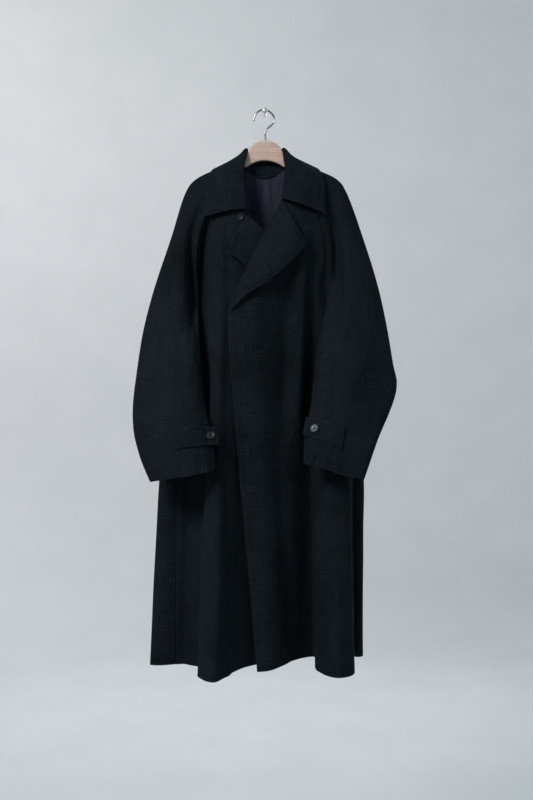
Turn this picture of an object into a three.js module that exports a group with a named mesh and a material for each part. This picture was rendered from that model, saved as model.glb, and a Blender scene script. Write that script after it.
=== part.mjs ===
// A long double-breasted linen coat with raglan sleeves, on a wooden hanger and a wall pin.
//
// Units are millimetres, +Z is up, +X is to the viewer's right and the coat faces -Y.
// The origin is the wall end of the pin. A point is given as x, depth and z, where depth is
// the distance in front of the plane of the hanger, so a fold that comes forward has more depth.
// "Right" and "left" in names are the wearer's, so the right half has negative x.

import * as THREE from 'three';

// Driving dimensions
const HANGER_PLANE = 30;      // from the wall to the middle of the hanger
const CLOTH = 1.8;            // wall of the coat: outer cloth with its facing or lining
const LINING = 1.0;           // wall of the lining
const SEAM_GAP = 0.3;         // between two pieces at a seam
const LIFT = 0.9;             // clear air under a strap that lies on a sleeve
const HANGER_THICKNESS = 12;
const DOME_RADIUS = 46;       // round middle of the hanger
const DOME_CENTRE_Z = -114;
const WIRE_RADIUS = 2.2;
const PIN_RADIUS = 4;
const PIN_HEAD_RADIUS = 6.5;
const PIN_LENGTH = 48;
const CUFF_BUTTON_RADIUS = 9;
const NECK_BUTTON_RADIUS = 7.5;
const BUTTON_THICKNESS = 3.4;
const BUTTON_CLEARANCE = 0.8;  // the thread holds the button this far off the cloth

const at = (x, depth, z) => new THREE.Vector3(x, -HANGER_PLANE - depth, z);
const curve = (rows) => new THREE.CatmullRomCurve3(rows.map((r) => at(...r)), false, 'centripetal');

// A line down the garment: level number -> point. knots says at which level each row lies.
function line(rows, knots = rows.map((_, i) => i)) {
  const path = curve(rows);
  return (level) => {
    let i = 0;
    while (i < knots.length - 2 && level > knots[i + 1]) i += 1;
    const part = (level - knots[i]) / (knots[i + 1] - knots[i]);
    return path.getPoint(Math.min(1, Math.max(0, (i + part) / (rows.length - 1))));
  };
}

// Two lines end to end, the second one from the level where the first one ends
const joined = (upper, lower, level) => (t) => (t <= level ? upper(t) : lower(t));

// Levels down the garment. 0 is the neck and 4 the armpit; the raglan seams lie between them.
const ARMPIT = 4;
const BOTTOM = 8;
const BODY_KNOTS = [0, 2, 3, 4, 5, 6, 7, 8];   // neck, yoke, chest, armpit, waist, cuff, knee, hem
const SLEEVE_KNOTS = [0, 1, 2, 3, 4, 5, 6, 7, 8];

function levels(upperCells, lowerCells) {
  const list = [];
  for (let i = 0; i < upperCells; i += 1) list.push((ARMPIT * i) / upperCells);
  for (let i = 0; i <= lowerCells; i += 1) list.push(ARMPIT + ((BOTTOM - ARMPIT) * i) / lowerCells);
  return list;
}
const BODY_LEVELS = levels(8, 12);
const SLEEVE_LEVELS = levels(8, 12);

// Seams that two pieces share: [x, depth, z] from the neck to the armpit, then to the hem or cuff
const SEAM = {
  frontRight: line([[-70, 34, -148], [-112, 44, -208], [-150, 44, -275], [-163, 42, -350], [-160, 18, -458]]),
  frontLeft: line([[70, 34, -146], [112, 42, -206], [143, 40, -270], [154, 34, -345], [150, 16, -448]]),
  backRight: line([[-52, -16, -141], [-95, -17, -200], [-128, -17, -272], [-150, -15, -355], [-160, 18, -458]]),
  backLeft: line([[52, -16, -141], [95, -17, -200], [128, -17, -272], [144, -15, -350], [150, 16, -448]]),
  sideRight: line([[-160, 18, -458], [-186, 10, -640], [-208, 6, -830], [-213, 4.5, -1050], [-213, 4.5, -1324]],
    [4, 5, 6, 7, 8]),
  sideLeft: line([[150, 16, -448], [192, 10, -640], [210, 6, -830], [212, 4.5, -1050], [213, 4.5, -1306]],
    [4, 5, 6, 7, 8]),
  underarmRight: line([[-160, 18, -458], [-153, 58, -570], [-138, 98, -712], [-118, 141, -786], [-113, 150, -848]],
    [4, 5, 6, 7, 8]),
  underarmLeft: line([[150, 16, -448], [124, 68, -560], [106, 108, -705], [90, 142, -778], [88, 150, -834]],
    [4, 5, 6, 7, 8]),
};

const raglanToSide = (raglan, side) => joined(raglan, side, ARMPIT);

// Lines of the wearer's right front, from the side seam to its free edge.
// Rows: neck, yoke, chest, armpit, waist, cuff, knee, hem.
const FRONT_RIGHT = [
  raglanToSide(SEAM.frontRight, SEAM.sideRight),
  line([ // groove beside the sleeve
    [-66, 39, -165], [-136, 24, -275], [-149, 12, -345], [-149, 8, -458],
    [-160, 8, -640], [-176, 12, -830], [-178, 16, -1050], [-180, 18, -1323]], BODY_KNOTS),
  line([ // foot of the deep fold
    [-62, 45, -184], [-130, 30, -275], [-143, 24, -345], [-141, 26, -458],
    [-127, 40, -640], [-132, 36, -830], [-147, 46, -1050], [-147, 56, -1321]], BODY_KNOTS),
  line([ // its head
    [-59, 50, -200], [-122, 48, -276], [-133, 52, -345], [-131, 64, -458],
    [-125, 84, -640], [-129, 88, -830], [-143, 116, -1050], [-151, 147, -1319]], BODY_KNOTS),
  line([ // its crest
    [-56, 53, -214], [-103, 60, -278], [-108, 68, -345], [-108, 78, -458],
    [-107, 101, -640], [-107, 122, -830], [-108, 158, -1050], [-115, 198, -1319]], BODY_KNOTS),
  line([ // slope towards the overlap
    [-53, 56, -230], [-80, 64, -281], [-80, 68, -345], [-78, 76, -458],
    [-84, 88, -640], [-86, 112, -830], [-86, 140, -1050], [-88, 164, -1316]], BODY_KNOTS),
  line([ // under the overlap
    [-50, 58.5, -244], [-56, 64, -286], [-48, 64, -346], [-44, 68, -458],
    [-52, 74, -640], [-53, 82, -830], [-54, 88, -1050], [-50, 92, -1312]], BODY_KNOTS),
  line([
    [-46, 60.5, -254], [-28, 64, -292], [-12, 60, -350], [14, 54, -462],
    [14, 54, -640], [10, 60, -830], [4, 62, -1050], [-6, 60, -1309]], BODY_KNOTS),
  line([ // roll line of the lapel, then the free edge
    [-38, 62, -258], [-4, 64, -294], [24, 56, -356], [70, 42, -472],
    [74, 42, -640], [68, 44, -830], [52, 44, -1050], [38, 44, -1306]], BODY_KNOTS),
];

// Lines of the wearer's left front, from its free edge to the side seam
const FRONT_LEFT = [
  line([ // roll line of the lapel, then the free edge
    [39.5, 62, -224.5], [5, 75, -288], [-38, 85, -372], [-82, 93, -480],
    [-77, 98, -640], [-62, 101, -830], [-41, 104, -1050], [-18, 106, -1318]], BODY_KNOTS),
  line([ // flat stretch inside the edge
    [46, 60, -214], [29, 74, -284], [-6, 84, -366], [-46, 92, -472],
    [-46, 98, -640], [-33, 104, -830], [-12, 108, -1050], [8, 108, -1315]], BODY_KNOTS),
  line([
    [49, 57, -200], [50, 68, -280], [24, 78, -360], [0, 84, -466],
    [4, 86, -640], [12, 90, -830], [22, 95, -1050], [36, 88, -1310]], BODY_KNOTS),
  line([ // soft groove down the chest
    [54, 53, -189], [72, 64, -277], [54, 66, -354], [52, 61, -461],
    [50, 54, -640], [42, 70, -830], [54, 60, -1050], [72, 34, -1307]], BODY_KNOTS),
  line([
    [58, 49, -178], [92, 58, -274], [86, 63, -350], [84, 65, -457],
    [80, 60, -640], [78, 44, -830], [86, 28, -1050], [96, 12, -1306]], BODY_KNOTS),
  line([ // valley beside the side fold
    [61, 45, -170], [108, 52, -273], [116, 46, -348], [112, 34, -453],
    [110, 22, -640], [112, 16, -830], [116, 10, -1050], [118, 4, -1306]], BODY_KNOTS),
  line([ // head of the side fold
    [64, 42, -163], [119, 50, -272], [128, 44, -347], [124, 34, -451],
    [124, 30, -640], [122, 72, -830], [119, 98, -1050], [119, 122, -1310]], BODY_KNOTS),
  line([ // its crest
    [66, 40, -158], [127, 48, -271], [137, 42, -346], [134, 26, -450],
    [154, 44, -640], [156, 96, -830], [160, 142, -1050], [160, 194, -1310]], BODY_KNOTS),
  line([ // its outer side
    [67, 38, -154], [133, 44, -271], [143, 36, -346], [141, 20, -449],
    [184, 34, -640], [192, 84, -830], [193, 128, -1050], [196, 172, -1310]], BODY_KNOTS),
  line([ // foot of that side
    [68.5, 36, -150], [138, 42, -270], [149, 34, -345], [146, 17, -448.5],
    [192, 16, -640], [204, 22, -830], [204, 30, -1050], [206, 38, -1307]], BODY_KNOTS),
  raglanToSide(SEAM.frontLeft, SEAM.sideLeft),
];

// Back panel from the right side seam round the back to the left one. Its sides come forward
// round the two corners, and soft waves run down its middle.
const BACK_WAVES = [ // [x at the neck, x at the armpit, x at the hem, depth at the armpit, at the hem]
  [-40, -118, -214, -17, -23],
  [-27, -78, -150, -15, -13],
  [-13, -38, -84, -18, -24],
  [0, 0, -18, -15, -13],
  [13, 38, 50, -18, -24],
  [27, 78, 116, -15, -13],
  [40, 112, 180, -17, -23],
];
const NECK_BACK_Z = -157;
const HEM_BACK_RIGHT_Z = -1322;
const HEM_BACK_LEFT_Z = -1304;

function backWave([xNeck, xArmpit, xHem, dArmpit, dHem]) {
  const side = Math.abs(xNeck) / 52;
  const zNeck = NECK_BACK_Z + (-141 - NECK_BACK_Z) * side ** 2;
  const zHem = THREE.MathUtils.mapLinear(xHem, -262, 222, HEM_BACK_RIGHT_Z, HEM_BACK_LEFT_Z);
  return line([[xNeck, -16, zNeck], [xArmpit, dArmpit, -455],
    [(xArmpit + xHem) / 2, (dArmpit + dHem) / 2, -830], [xHem, dHem, zHem]], [0, 4, 6, 8]);
}

const BACK = [
  raglanToSide(SEAM.backRight, SEAM.sideRight),
  line([ // front of the corner
    [-50, -16, -142.5], [-126, -17, -273], [-148, -16, -356], [-161, 10, -459],
    [-209, 7, -640], [-232, 8, -830], [-244, 9, -1050], [-254, 8, -1326]], BODY_KNOTS),
  line([ // corner
    [-48, -16, -144], [-123, -17, -274], [-146, -17, -357], [-161, -2, -460],
    [-222, -5, -640], [-247, -6, -830], [-261, -7, -1050], [-275, -7, -1328]], BODY_KNOTS),
  line([ // behind the corner
    [-45, -16, -146], [-120, -17, -275], [-142, -17, -358], [-154, -14, -461],
    [-208, -17, -640], [-234, -18, -830], [-247, -19, -1050], [-260, -20, -1327]], BODY_KNOTS),
  ...BACK_WAVES.map(backWave),
  line([
    [45, -16, -146], [120, -17, -275], [136, -17, -353], [144, -14, -451],
    [200, -17, -640], [224, -18, -830], [222, -19, -1050], [221, -20, -1305]], BODY_KNOTS),
  line([
    [48, -16, -144], [123, -17, -274], [140, -17, -352], [151, -2, -450],
    [214, -5, -640], [237, -6, -830], [237, -7, -1050], [235, -7, -1306]], BODY_KNOTS),
  line([
    [50, -16, -142.5], [126, -17, -273], [142, -16, -351], [151, 9, -449],
    [206, 8, -640], [225, 8, -830], [226, 9, -1050], [225, 8, -1306]], BODY_KNOTS),
  raglanToSide(SEAM.backLeft, SEAM.sideLeft),
];

// Lines round the right sleeve, from the front seam over the arm to the back seam.
// Rows: neck, shoulder, tip, chest, armpit, upper arm, elbow, wrist, cuff.
const NECK_POINT_Z = -117;
const SLEEVE_RIGHT = {
  front: [
    raglanToSide(SEAM.frontRight, SEAM.underarmRight),
    line([ // groove inside the front seam
      [-69.5, 28, -141], [-126, 36, -202], [-162, 28, -266], [-174, 25, -345], [-171, 20, -456],
      [-168, 82, -575], [-154, 122, -715], [-136, 158, -786], [-132, 165, -854]], SLEEVE_KNOTS),
    line([ // front of the arm
      [-68, 20, -133], [-137, 32, -194], [-173, 33, -250], [-192, 46, -340], [-193, 64, -454],
      [-202, 92, -580], [-182, 134, -718], [-164, 163, -786], [-160, 168, -860]], SLEEVE_KNOTS),
    line([
      [-66, 11, -124], [-149, 21, -177], [-181, 26, -222], [-210, 38, -330], [-234, 62, -452],
      [-228, 90, -582], [-206, 132, -720], [-188, 158, -788], [-183, 162, -865]], SLEEVE_KNOTS),
    line([ // seam along the top of the arm
      [-63, 3, NECK_POINT_Z], [-166, 8, -164.5], [-187, 10, -192], [-216, 22, -312], [-254, 48, -450],
      [-245, 80, -584], [-220, 124, -722], [-204, 149, -790], [-199, 155, -867]], SLEEVE_KNOTS),
  ],
  back: [
    line([ // outer edge of the sleeve
      [-61, -5, -118], [-167, -8, -165], [-188, -8, -194], [-222, 4, -302], [-268, 22, -448],
      [-298, 42, -594], [-308, 70, -750], [-290, 90, -818], [-264, 102, -880]], SLEEVE_KNOTS),
    line([
      [-59, -9, -123], [-150, -14, -176], [-178, -15, -224], [-204, -14, -322], [-246, -10, -452],
      [-284, 12, -592], [-292, 46, -748], [-274, 72, -814], [-252, 84, -878]], SLEEVE_KNOTS),
    line([
      [-56, -13, -131], [-128, -17, -186], [-157, -17, -246], [-182, -17, -338], [-206, -12, -456],
      [-230, 16, -586], [-230, 62, -736], [-206, 98, -802], [-194, 108, -866]], SLEEVE_KNOTS),
    raglanToSide(SEAM.backRight, SEAM.underarmRight),
  ],
};

const SLEEVE_LEFT = {
  front: [
    raglanToSide(SEAM.frontLeft, SEAM.underarmLeft),
    line([
      [69.5, 28, -139], [126, 36, -199], [157, 28, -260], [168, 22, -340], [164, 30, -446],
      [136, 98, -564], [118, 134, -708], [104, 158, -778], [102, 166, -838]], SLEEVE_KNOTS),
    line([
      [68, 20, -131], [137, 32, -192], [171, 33, -246], [190, 46, -334], [196, 66, -446],
      [166, 113, -571], [141, 149, -711], [130, 168, -783], [124, 169, -843]], SLEEVE_KNOTS),
    line([
      [66, 11, -123], [150, 21, -176], [184, 26, -219], [210, 38, -322], [232, 62, -444],
      [204, 112, -579], [165, 152, -716], [153, 166, -789], [146, 168, -850]], SLEEVE_KNOTS),
    line([ // seam along the top of the arm
      [63, 3, NECK_POINT_Z], [171, 8, -163.5], [191, 10, -189], [220, 22, -304], [260, 48, -442],
      [238, 102, -586], [188, 150, -723], [174, 162, -797], [163, 166, -857]], SLEEVE_KNOTS),
  ],
  back: [
    line([ // outer edge
      [61, -5, -118], [172, -8, -164], [192, -8, -191], [228, 4, -292], [273, 22, -444],
      [299, 62, -604], [306, 88, -664], [256, 122, -786], [224, 136, -874]], SLEEVE_KNOTS),
    line([
      [59, -9, -123], [152, -14, -175], [182, -15, -221], [208, -14, -316], [250, -10, -446],
      [284, 36, -602], [288, 64, -668], [242, 100, -786], [214, 116, -872]], SLEEVE_KNOTS),
    line([
      [56, -13, -131], [130, -17, -184], [160, -17, -243], [182, -17, -334], [206, -12, -448],
      [222, 50, -586], [212, 84, -700], [182, 116, -786], [168, 126, -856]], SLEEVE_KNOTS),
    raglanToSide(SEAM.backLeft, SEAM.underarmLeft),
  ],
};

// Collar ribs from the right front end round the back to the left front end:
// [foot of the stand], [roll line], [middle of the fall], [outer edge]
const COLLAR_RIBS = [
  { foot: [-44, 63, -246], roll: [-43, 67.5, -244], fall: [-90, 74, -249], edge: [-140, 56, -259] },
  { foot: [-54, 54, -207], roll: [-46, 60, -197], fall: [-92, 70, -202], edge: [-139, 50, -212] },
  { foot: [-66, 35.5, -149], roll: [-49, 42, -147], fall: [-92, 54, -152], edge: [-138, 40, -178] },
  { foot: [-60, 14, -120], roll: [-43, 15, -104], fall: [-72, 25, -117], edge: [-131, 21, -151.5] },
  { foot: [-57, 3, -115.5], roll: [-42, 2, -89], fall: [-66, 3, -108], edge: [-122, 1, -137] },
  { foot: [-54, -5, -117], roll: [-41, -8, -88], fall: [-64, -16, -110], edge: [-115, -24.5, -149] },
  { foot: [-46, -12, -136], roll: [-38, -16, -88], fall: [-66, -25, -129], edge: [-88, -26.5, -174] },
  { foot: [-25, -13.2, -153], roll: [-20, -17.5, -86], fall: [-34, -26.5, -136], edge: [-46, -27, -183] },
  { foot: [0, -13.2, -159], roll: [0, -17.5, -86], fall: [0, -26.5, -137], edge: [0, -27, -185] },
  { foot: [25, -13.2, -153], roll: [20, -17.5, -86], fall: [34, -26.5, -136], edge: [46, -27, -183] },
  { foot: [46, -12, -136], roll: [38, -16, -88], fall: [66, -25, -129], edge: [89, -26.5, -174] },
  { foot: [54, -5, -117], roll: [41, -8, -87], fall: [64, -16, -110], edge: [116, -24.5, -148] },
  { foot: [57, 3, -115.5], roll: [42, 2, -88], fall: [66, 3, -107], edge: [124, 1, -135.5] },
  { foot: [60, 14, -120], roll: [43, 15, -103], fall: [72, 25, -116], edge: [134, 21, -150.5] },
  { foot: [66, 35.5, -147], roll: [47, 42, -147], fall: [90, 54, -150], edge: [140, 40, -178] },
  { foot: [49, 57, -194], roll: [43, 61, -190], fall: [88, 70, -196], edge: [141, 50, -210] },
  { foot: [40, 64.5, -222], roll: [39.5, 69, -221], fall: [84, 75, -233], edge: [141, 56, -252] },
];
const COLLAR_BEND = 5;        // how far the cloth runs level before it turns down from the roll line

// Lapels: lines from the roll line out to the free edge, rows from the neck to the break point
const LAPEL_BEND = { aside: 2, forward: 5 };
const bendOf = (roll, side) => (level) => {
  const p = roll(level);
  return p.setX(p.x + side * LAPEL_BEND.aside).setY(p.y - LAPEL_BEND.forward);
};
const RIGHT_ROLL = FRONT_RIGHT[FRONT_RIGHT.length - 1];
const LEFT_ROLL = FRONT_LEFT[0];
const LAPEL_RIGHT = [
  RIGHT_ROLL,
  bendOf(RIGHT_ROLL, -1),
  line([[-60, 77, -292], [-27, 76, -322], [6, 68, -376], [62, 50, -476]], [0, 2, 3, 4]),
  line([[-74, 80, -318], [-42, 79, -344], [-8, 71, -396], [60, 51, -479]], [0, 2, 3, 4]),
  line([[-89.5, 81, -347], [-58, 80, -366], [-24, 72, -402], [58, 52, -482]], [0, 2, 3, 4]),
];
const LAPEL_LEFT = [
  LEFT_ROLL,
  bendOf(LEFT_ROLL, 1),
  line([[58, 84, -258], [30, 99, -318], [-14, 108, -396], [-58, 100, -441], [-80, 99, -480.3]], [0, 2, 3, 3.6, 4]),
  line([[77, 89, -293], [50, 105, -348], [-2, 113, -407], [-51, 105, -446], [-78.6, 100.4, -480.8]], [0, 2, 3, 3.6, 4]),
  line([[95.6, 84, -328], [64, 99, -367], [9, 110, -416], [-45, 106, -450], [-77.2, 100, -481.4]], [0, 2, 3, 3.6, 4]),
];

// The back lining hangs from the neck seam in front of the back panel
const LINING_RISE = [-62, -31, 0, 31, 62];
const LINING_BACK = LINING_RISE.map((x, i) => {
  const wave = i % 2 ? 1.2 : -1.2;
  return line([[x * 0.75, -11.4 + 0.0004 * x * x, -159.8 + 0.0061 * x * x], [x * 1.3, -11 + wave * 0.3, -260],
    [x * 1.6, -10 + wave, -380]], [0, 4, 8]);
});

// A sheet: for each level, a smooth curve through its lines, cut into equal cells between them
function sheet(lines, levelList, cells) {
  const across = (lines.length - 1) * cells;
  return levelList.map((level) => {
    const through = new THREE.CatmullRomCurve3(lines.map((f) => f(level)), false, 'centripetal');
    return Array.from({ length: across + 1 }, (_, i) => through.getPoint(i / across));
  });
}

// The point of a sheet at a level and a share of its width
function onSheet(lines, level, share) {
  return new THREE.CatmullRomCurve3(lines.map((f) => f(level)), false, 'centripetal').getPoint(share);
}

// The collar leaves its roll line level, towards the fall, so that the fold has room
function bendOfRib({ foot, roll, fall }) {
  const start = new THREE.Vector3(...roll);
  const out = new THREE.Vector3(fall[0] - roll[0], fall[1] - roll[1], 0).setLength(COLLAR_BEND);
  const rise = start.clone().sub(new THREE.Vector3(...foot)).setLength(COLLAR_BEND * 0.3);
  return start.add(out).add(rise).toArray();
}

// The ribs of the collar give two sheets: the stand inside and the fall outside
function ribSheet(keys, acrossCells, cellsPerRib) {
  const around = (COLLAR_RIBS.length - 1) * cellsPerRib;
  const rails = keys.map((key) => curve(COLLAR_RIBS.map((rib) => (key === 'bend' ? bendOfRib(rib) : rib[key]))));
  return Array.from({ length: around + 1 }, (_, i) => {
    const through = new THREE.CatmullRomCurve3(rails.map((r) => r.getPoint(i / around)), false, 'centripetal');
    return Array.from({ length: acrossCells + 1 }, (__, j) => through.getPoint(j / acrossCells));
  });
}

// Facing direction of the sheet at each of its points. Sheets whose lines run the other way are turned,
// so that the facing goes on smoothly from one piece to the next.
function facings(grid, turned = false) {
  const rows = grid.length - 1;
  const columns = grid[0].length - 1;
  return grid.map((row, i) => row.map((_, j) => {
    const down = grid[Math.min(rows, i + 1)][j].clone().sub(grid[Math.max(0, i - 1)][j]);
    const along = grid[i][Math.min(columns, j + 1)].clone().sub(grid[i][Math.max(0, j - 1)]);
    return turned ? down.cross(along).normalize() : along.cross(down).normalize();
  }));
}

const isRim = (grid, i, j) => i === 0 || j === 0 || i === grid.length - 1 || j === grid[0].length - 1;
const placeKey = (p) => [p.x, p.y, p.z].map((v) => Math.round(v * 100)).join(',');

// Where four pieces meet, as at the armpit, each stays further back from the point
const CORNER_FACTOR = 5;

// Pieces that share a seam get one facing there, so that their rims stay parallel
function matchSeams(pieces) {
  const shared = new Map();
  for (const piece of pieces) {
    piece.facing = facings(piece.grid, piece.turned);
    piece.grid.forEach((row, i) => row.forEach((p, j) => {
      if (!isRim(piece.grid, i, j)) return;
      const key = placeKey(p);
      if (!shared.has(key)) shared.set(key, { sum: new THREE.Vector3(), pieces: 0 });
      shared.get(key).sum.add(piece.facing[i][j]);
      shared.get(key).pieces += 1;
    }));
  }
  for (const piece of pieces) {
    piece.gap = piece.grid.map((row, i) => row.map((p, j) => {
      if (!isRim(piece.grid, i, j)) return 0;
      const { sum, pieces: meeting } = shared.get(placeKey(p));
      piece.facing[i][j] = sum.clone().normalize();
      return (SEAM_GAP / 2) * (meeting > 2 ? CORNER_FACTOR : 1);
    }));
  }
}

// The rim of a sheet drawn back from the seam line, towards the middle of the sheet
function drawBack(grid, gap) {
  const rows = grid.length - 1;
  const columns = grid[0].length - 1;
  const towards = (p, q) => q.clone().sub(p).normalize();
  return grid.map((row, i) => row.map((p, j) => {
    const moved = p.clone();
    if (i === 0) moved.addScaledVector(towards(p, grid[1][j]), gap[i][j]);
    if (i === rows) moved.addScaledVector(towards(p, grid[rows - 1][j]), gap[i][j]);
    if (j === 0) moved.addScaledVector(towards(p, grid[i][1]), gap[i][j]);
    if (j === columns) moved.addScaledVector(towards(p, grid[i][columns - 1]), gap[i][j]);
    return moved;
  }));
}

// A closed wall round a sheet: an outer face, an inner face and four rims
function wall(grid, facing, thickness) {
  const rows = grid.length;
  const columns = grid[0].length;
  const positions = [];
  for (const side of [0.5, -0.5]) {
    grid.forEach((row, i) => row.forEach((p, j) => {
      const q = p.clone().addScaledVector(facing[i][j], side * thickness);
      positions.push(q.x, q.y, q.z);
    }));
  }
  const outer = (i, j) => i * columns + j;
  const inner = (i, j) => rows * columns + i * columns + j;
  const faces = [];
  const quad = (a, b, c, d) => faces.push(a, b, c, a, c, d);
  for (let i = 0; i < rows - 1; i += 1) {
    for (let j = 0; j < columns - 1; j += 1) {
      quad(outer(i, j), outer(i, j + 1), outer(i + 1, j + 1), outer(i + 1, j));
      quad(inner(i, j), inner(i + 1, j), inner(i + 1, j + 1), inner(i, j + 1));
    }
    quad(outer(i, 0), outer(i + 1, 0), inner(i + 1, 0), inner(i, 0));
    quad(outer(i + 1, columns - 1), outer(i, columns - 1), inner(i, columns - 1), inner(i + 1, columns - 1));
  }
  for (let j = 0; j < columns - 1; j += 1) {
    quad(outer(0, j + 1), outer(0, j), inner(0, j), inner(0, j + 1));
    quad(outer(rows - 1, j), outer(rows - 1, j + 1), inner(rows - 1, j + 1), inner(rows - 1, j));
  }
  const geometry = new THREE.BufferGeometry();
  geometry.setAttribute('position', new THREE.Float32BufferAttribute(positions, 3));
  geometry.setIndex(signedVolume(positions, faces) > 0 ? faces : turned(faces));
  geometry.computeVertexNormals();
  return geometry;
}

function signedVolume(positions, faces) {
  let sum = 0;
  const point = (k) => new THREE.Vector3().fromArray(positions, faces[k] * 3);
  for (let k = 0; k < faces.length; k += 3) sum += point(k).dot(point(k + 1).cross(point(k + 2)));
  return sum / 6;
}

function turned(faces) {
  const list = [];
  for (let k = 0; k < faces.length; k += 3) list.push(faces[k], faces[k + 2], faces[k + 1]);
  return list;
}

// Materials
const finish = (color, roughness, metalness = 0) => new THREE.MeshStandardMaterial({ color, roughness, metalness });
const NAVY_LINEN = 0x181a20;
const LINING_CLOTH = 0x2a2d38;
const BEECH = 0xc8af9b;
const HORN = 0x6b4a33;
const PEARL = 0x8f97a3;
const STEEL = 0xb9bcc0;

const coat = new THREE.Group();

function add(name, geometry, material) {
  const mesh = new THREE.Mesh(geometry, material);
  mesh.name = name;
  coat.add(mesh);
  return mesh;
}

// Cloth pieces
const LAPEL_LEVELS = [0, 0.5, 1, 1.5, 2, 2.5, 3, 3.5, 4];
const LINING_LEVELS = [0, 2, 4, 6, 8];
const CLOTH_PIECES = [
  { name: 'back', grid: sheet(BACK, BODY_LEVELS, 2) },
  { name: 'front_right', grid: sheet(FRONT_RIGHT, BODY_LEVELS, 3), turned: true },
  { name: 'front_left', grid: sheet(FRONT_LEFT, BODY_LEVELS, 2), turned: true },
  { name: 'sleeve_right_front', grid: sheet(SLEEVE_RIGHT.front, SLEEVE_LEVELS, 2) },
  { name: 'sleeve_right_back', grid: sheet([SLEEVE_RIGHT.front.at(-1), ...SLEEVE_RIGHT.back], SLEEVE_LEVELS, 2) },
  { name: 'sleeve_left_front', grid: sheet(SLEEVE_LEFT.front, SLEEVE_LEVELS, 2), turned: true },
  { name: 'sleeve_left_back', grid: sheet([SLEEVE_LEFT.front.at(-1), ...SLEEVE_LEFT.back], SLEEVE_LEVELS, 2),
    turned: true },
  { name: 'collar_stand', grid: ribSheet(['foot', 'roll'], 2, 2) },
  { name: 'collar', grid: ribSheet(['roll', 'bend', 'fall', 'edge'], 6, 2) },
  { name: 'lapel_right', grid: sheet(LAPEL_RIGHT, LAPEL_LEVELS, 2), turned: true },
  { name: 'lapel_left', grid: sheet(LAPEL_LEFT, LAPEL_LEVELS, 2) },
];
matchSeams(CLOTH_PIECES);
for (const piece of CLOTH_PIECES) {
  add(piece.name, wall(drawBack(piece.grid, piece.gap), piece.facing, CLOTH), finish(NAVY_LINEN, 0.9));
}
const liningGrid = sheet(LINING_BACK, LINING_LEVELS, 2);
add('lining_back', wall(liningGrid, facings(liningGrid), LINING), finish(LINING_CLOTH, 0.6));

// Hanger: a round middle with two sloping arms, cut from one board
const ARM_ROOT = { x: DOME_RADIUS + 2, top: -118.5, bottom: -134 };
const ARM_END = { x: 170, top: -169, bottom: -184 };
function hangerOutline() {
  const shape = new THREE.Shape();
  const r = DOME_RADIUS;
  const { x, top, bottom } = ARM_END;
  shape.moveTo(r - 1, ARM_ROOT.bottom + 1);
  shape.lineTo(x - 6, bottom + 1);
  shape.quadraticCurveTo(x + 2, bottom, x + 1, top - 6);
  shape.quadraticCurveTo(x, top - 1, x - 8, top + 3);
  shape.lineTo(ARM_ROOT.x, ARM_ROOT.top);
  shape.quadraticCurveTo(r, ARM_ROOT.top + 1, r, DOME_CENTRE_Z);
  shape.absarc(0, DOME_CENTRE_Z, r, 0, Math.PI, false);
  shape.quadraticCurveTo(-r, ARM_ROOT.top + 1, -ARM_ROOT.x, ARM_ROOT.top);
  shape.lineTo(8 - x, top + 3);
  shape.quadraticCurveTo(-x, top - 1, -x - 1, top - 6);
  shape.quadraticCurveTo(-x - 2, bottom, 6 - x, bottom + 1);
  shape.lineTo(1 - r, ARM_ROOT.bottom + 1);
  shape.quadraticCurveTo(0, -99, r - 1, ARM_ROOT.bottom + 1);
  return shape;
}
const HANGER_BEVEL = 2;
const board = new THREE.ExtrudeGeometry(hangerOutline(), {
  depth: HANGER_THICKNESS - 2 * HANGER_BEVEL,
  curveSegments: 8,
  bevelThickness: HANGER_BEVEL,
  bevelSize: HANGER_BEVEL,
  bevelOffset: -HANGER_BEVEL,
  bevelSegments: 2,
});
board.rotateX(Math.PI / 2);
board.translate(0, -HANGER_PLANE + HANGER_THICKNESS / 2 - HANGER_BEVEL, 0);
add('hanger', board, finish(BEECH, 0.5));

// Hook: one bent wire from the top of the hanger over the pin
const HOOK_PATH = [ // [x, z]
  [2, -67.4], [1, -58], [0, -50], [5.5, -40], [15, -32], [21.6, -23.5], [22, -12.5],
  [15.5, -3], [6, 4], [-1.5, 6.7], [-11, 4], [-20, -2], [-24.6, -10.5], [-27, -20],
];
const wire = new THREE.Shape();
wire.absarc(0, 0, WIRE_RADIUS, 0, Math.PI * 2, false);
add('hanger_hook', new THREE.ExtrudeGeometry(wire, {
  curveSegments: 4,
  steps: 34,
  bevelEnabled: false,
  extrudePath: curve(HOOK_PATH.map(([x, z]) => [x, 0, z])),
}), finish(STEEL, 0.3, 1));

// Wall pin: a shank with a rounded head, turned about its own length
const HEAD_THICKNESS = 6;
const pinProfile = [
  [0, 0], [PIN_RADIUS, 0], [PIN_RADIUS, PIN_LENGTH - HEAD_THICKNESS],
  [PIN_HEAD_RADIUS - 1, PIN_LENGTH - HEAD_THICKNESS], [PIN_HEAD_RADIUS, PIN_LENGTH - HEAD_THICKNESS + 1],
  [PIN_HEAD_RADIUS, PIN_LENGTH - 3], [PIN_HEAD_RADIUS - 1.5, PIN_LENGTH - 1], [0, PIN_LENGTH],
].map(([r, y]) => new THREE.Vector2(r, y));
const pin = new THREE.LatheGeometry(pinProfile, 20);
pin.rotateX(Math.PI);
add('wall_pin', pin, finish(STEEL, 0.35, 1));

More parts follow.
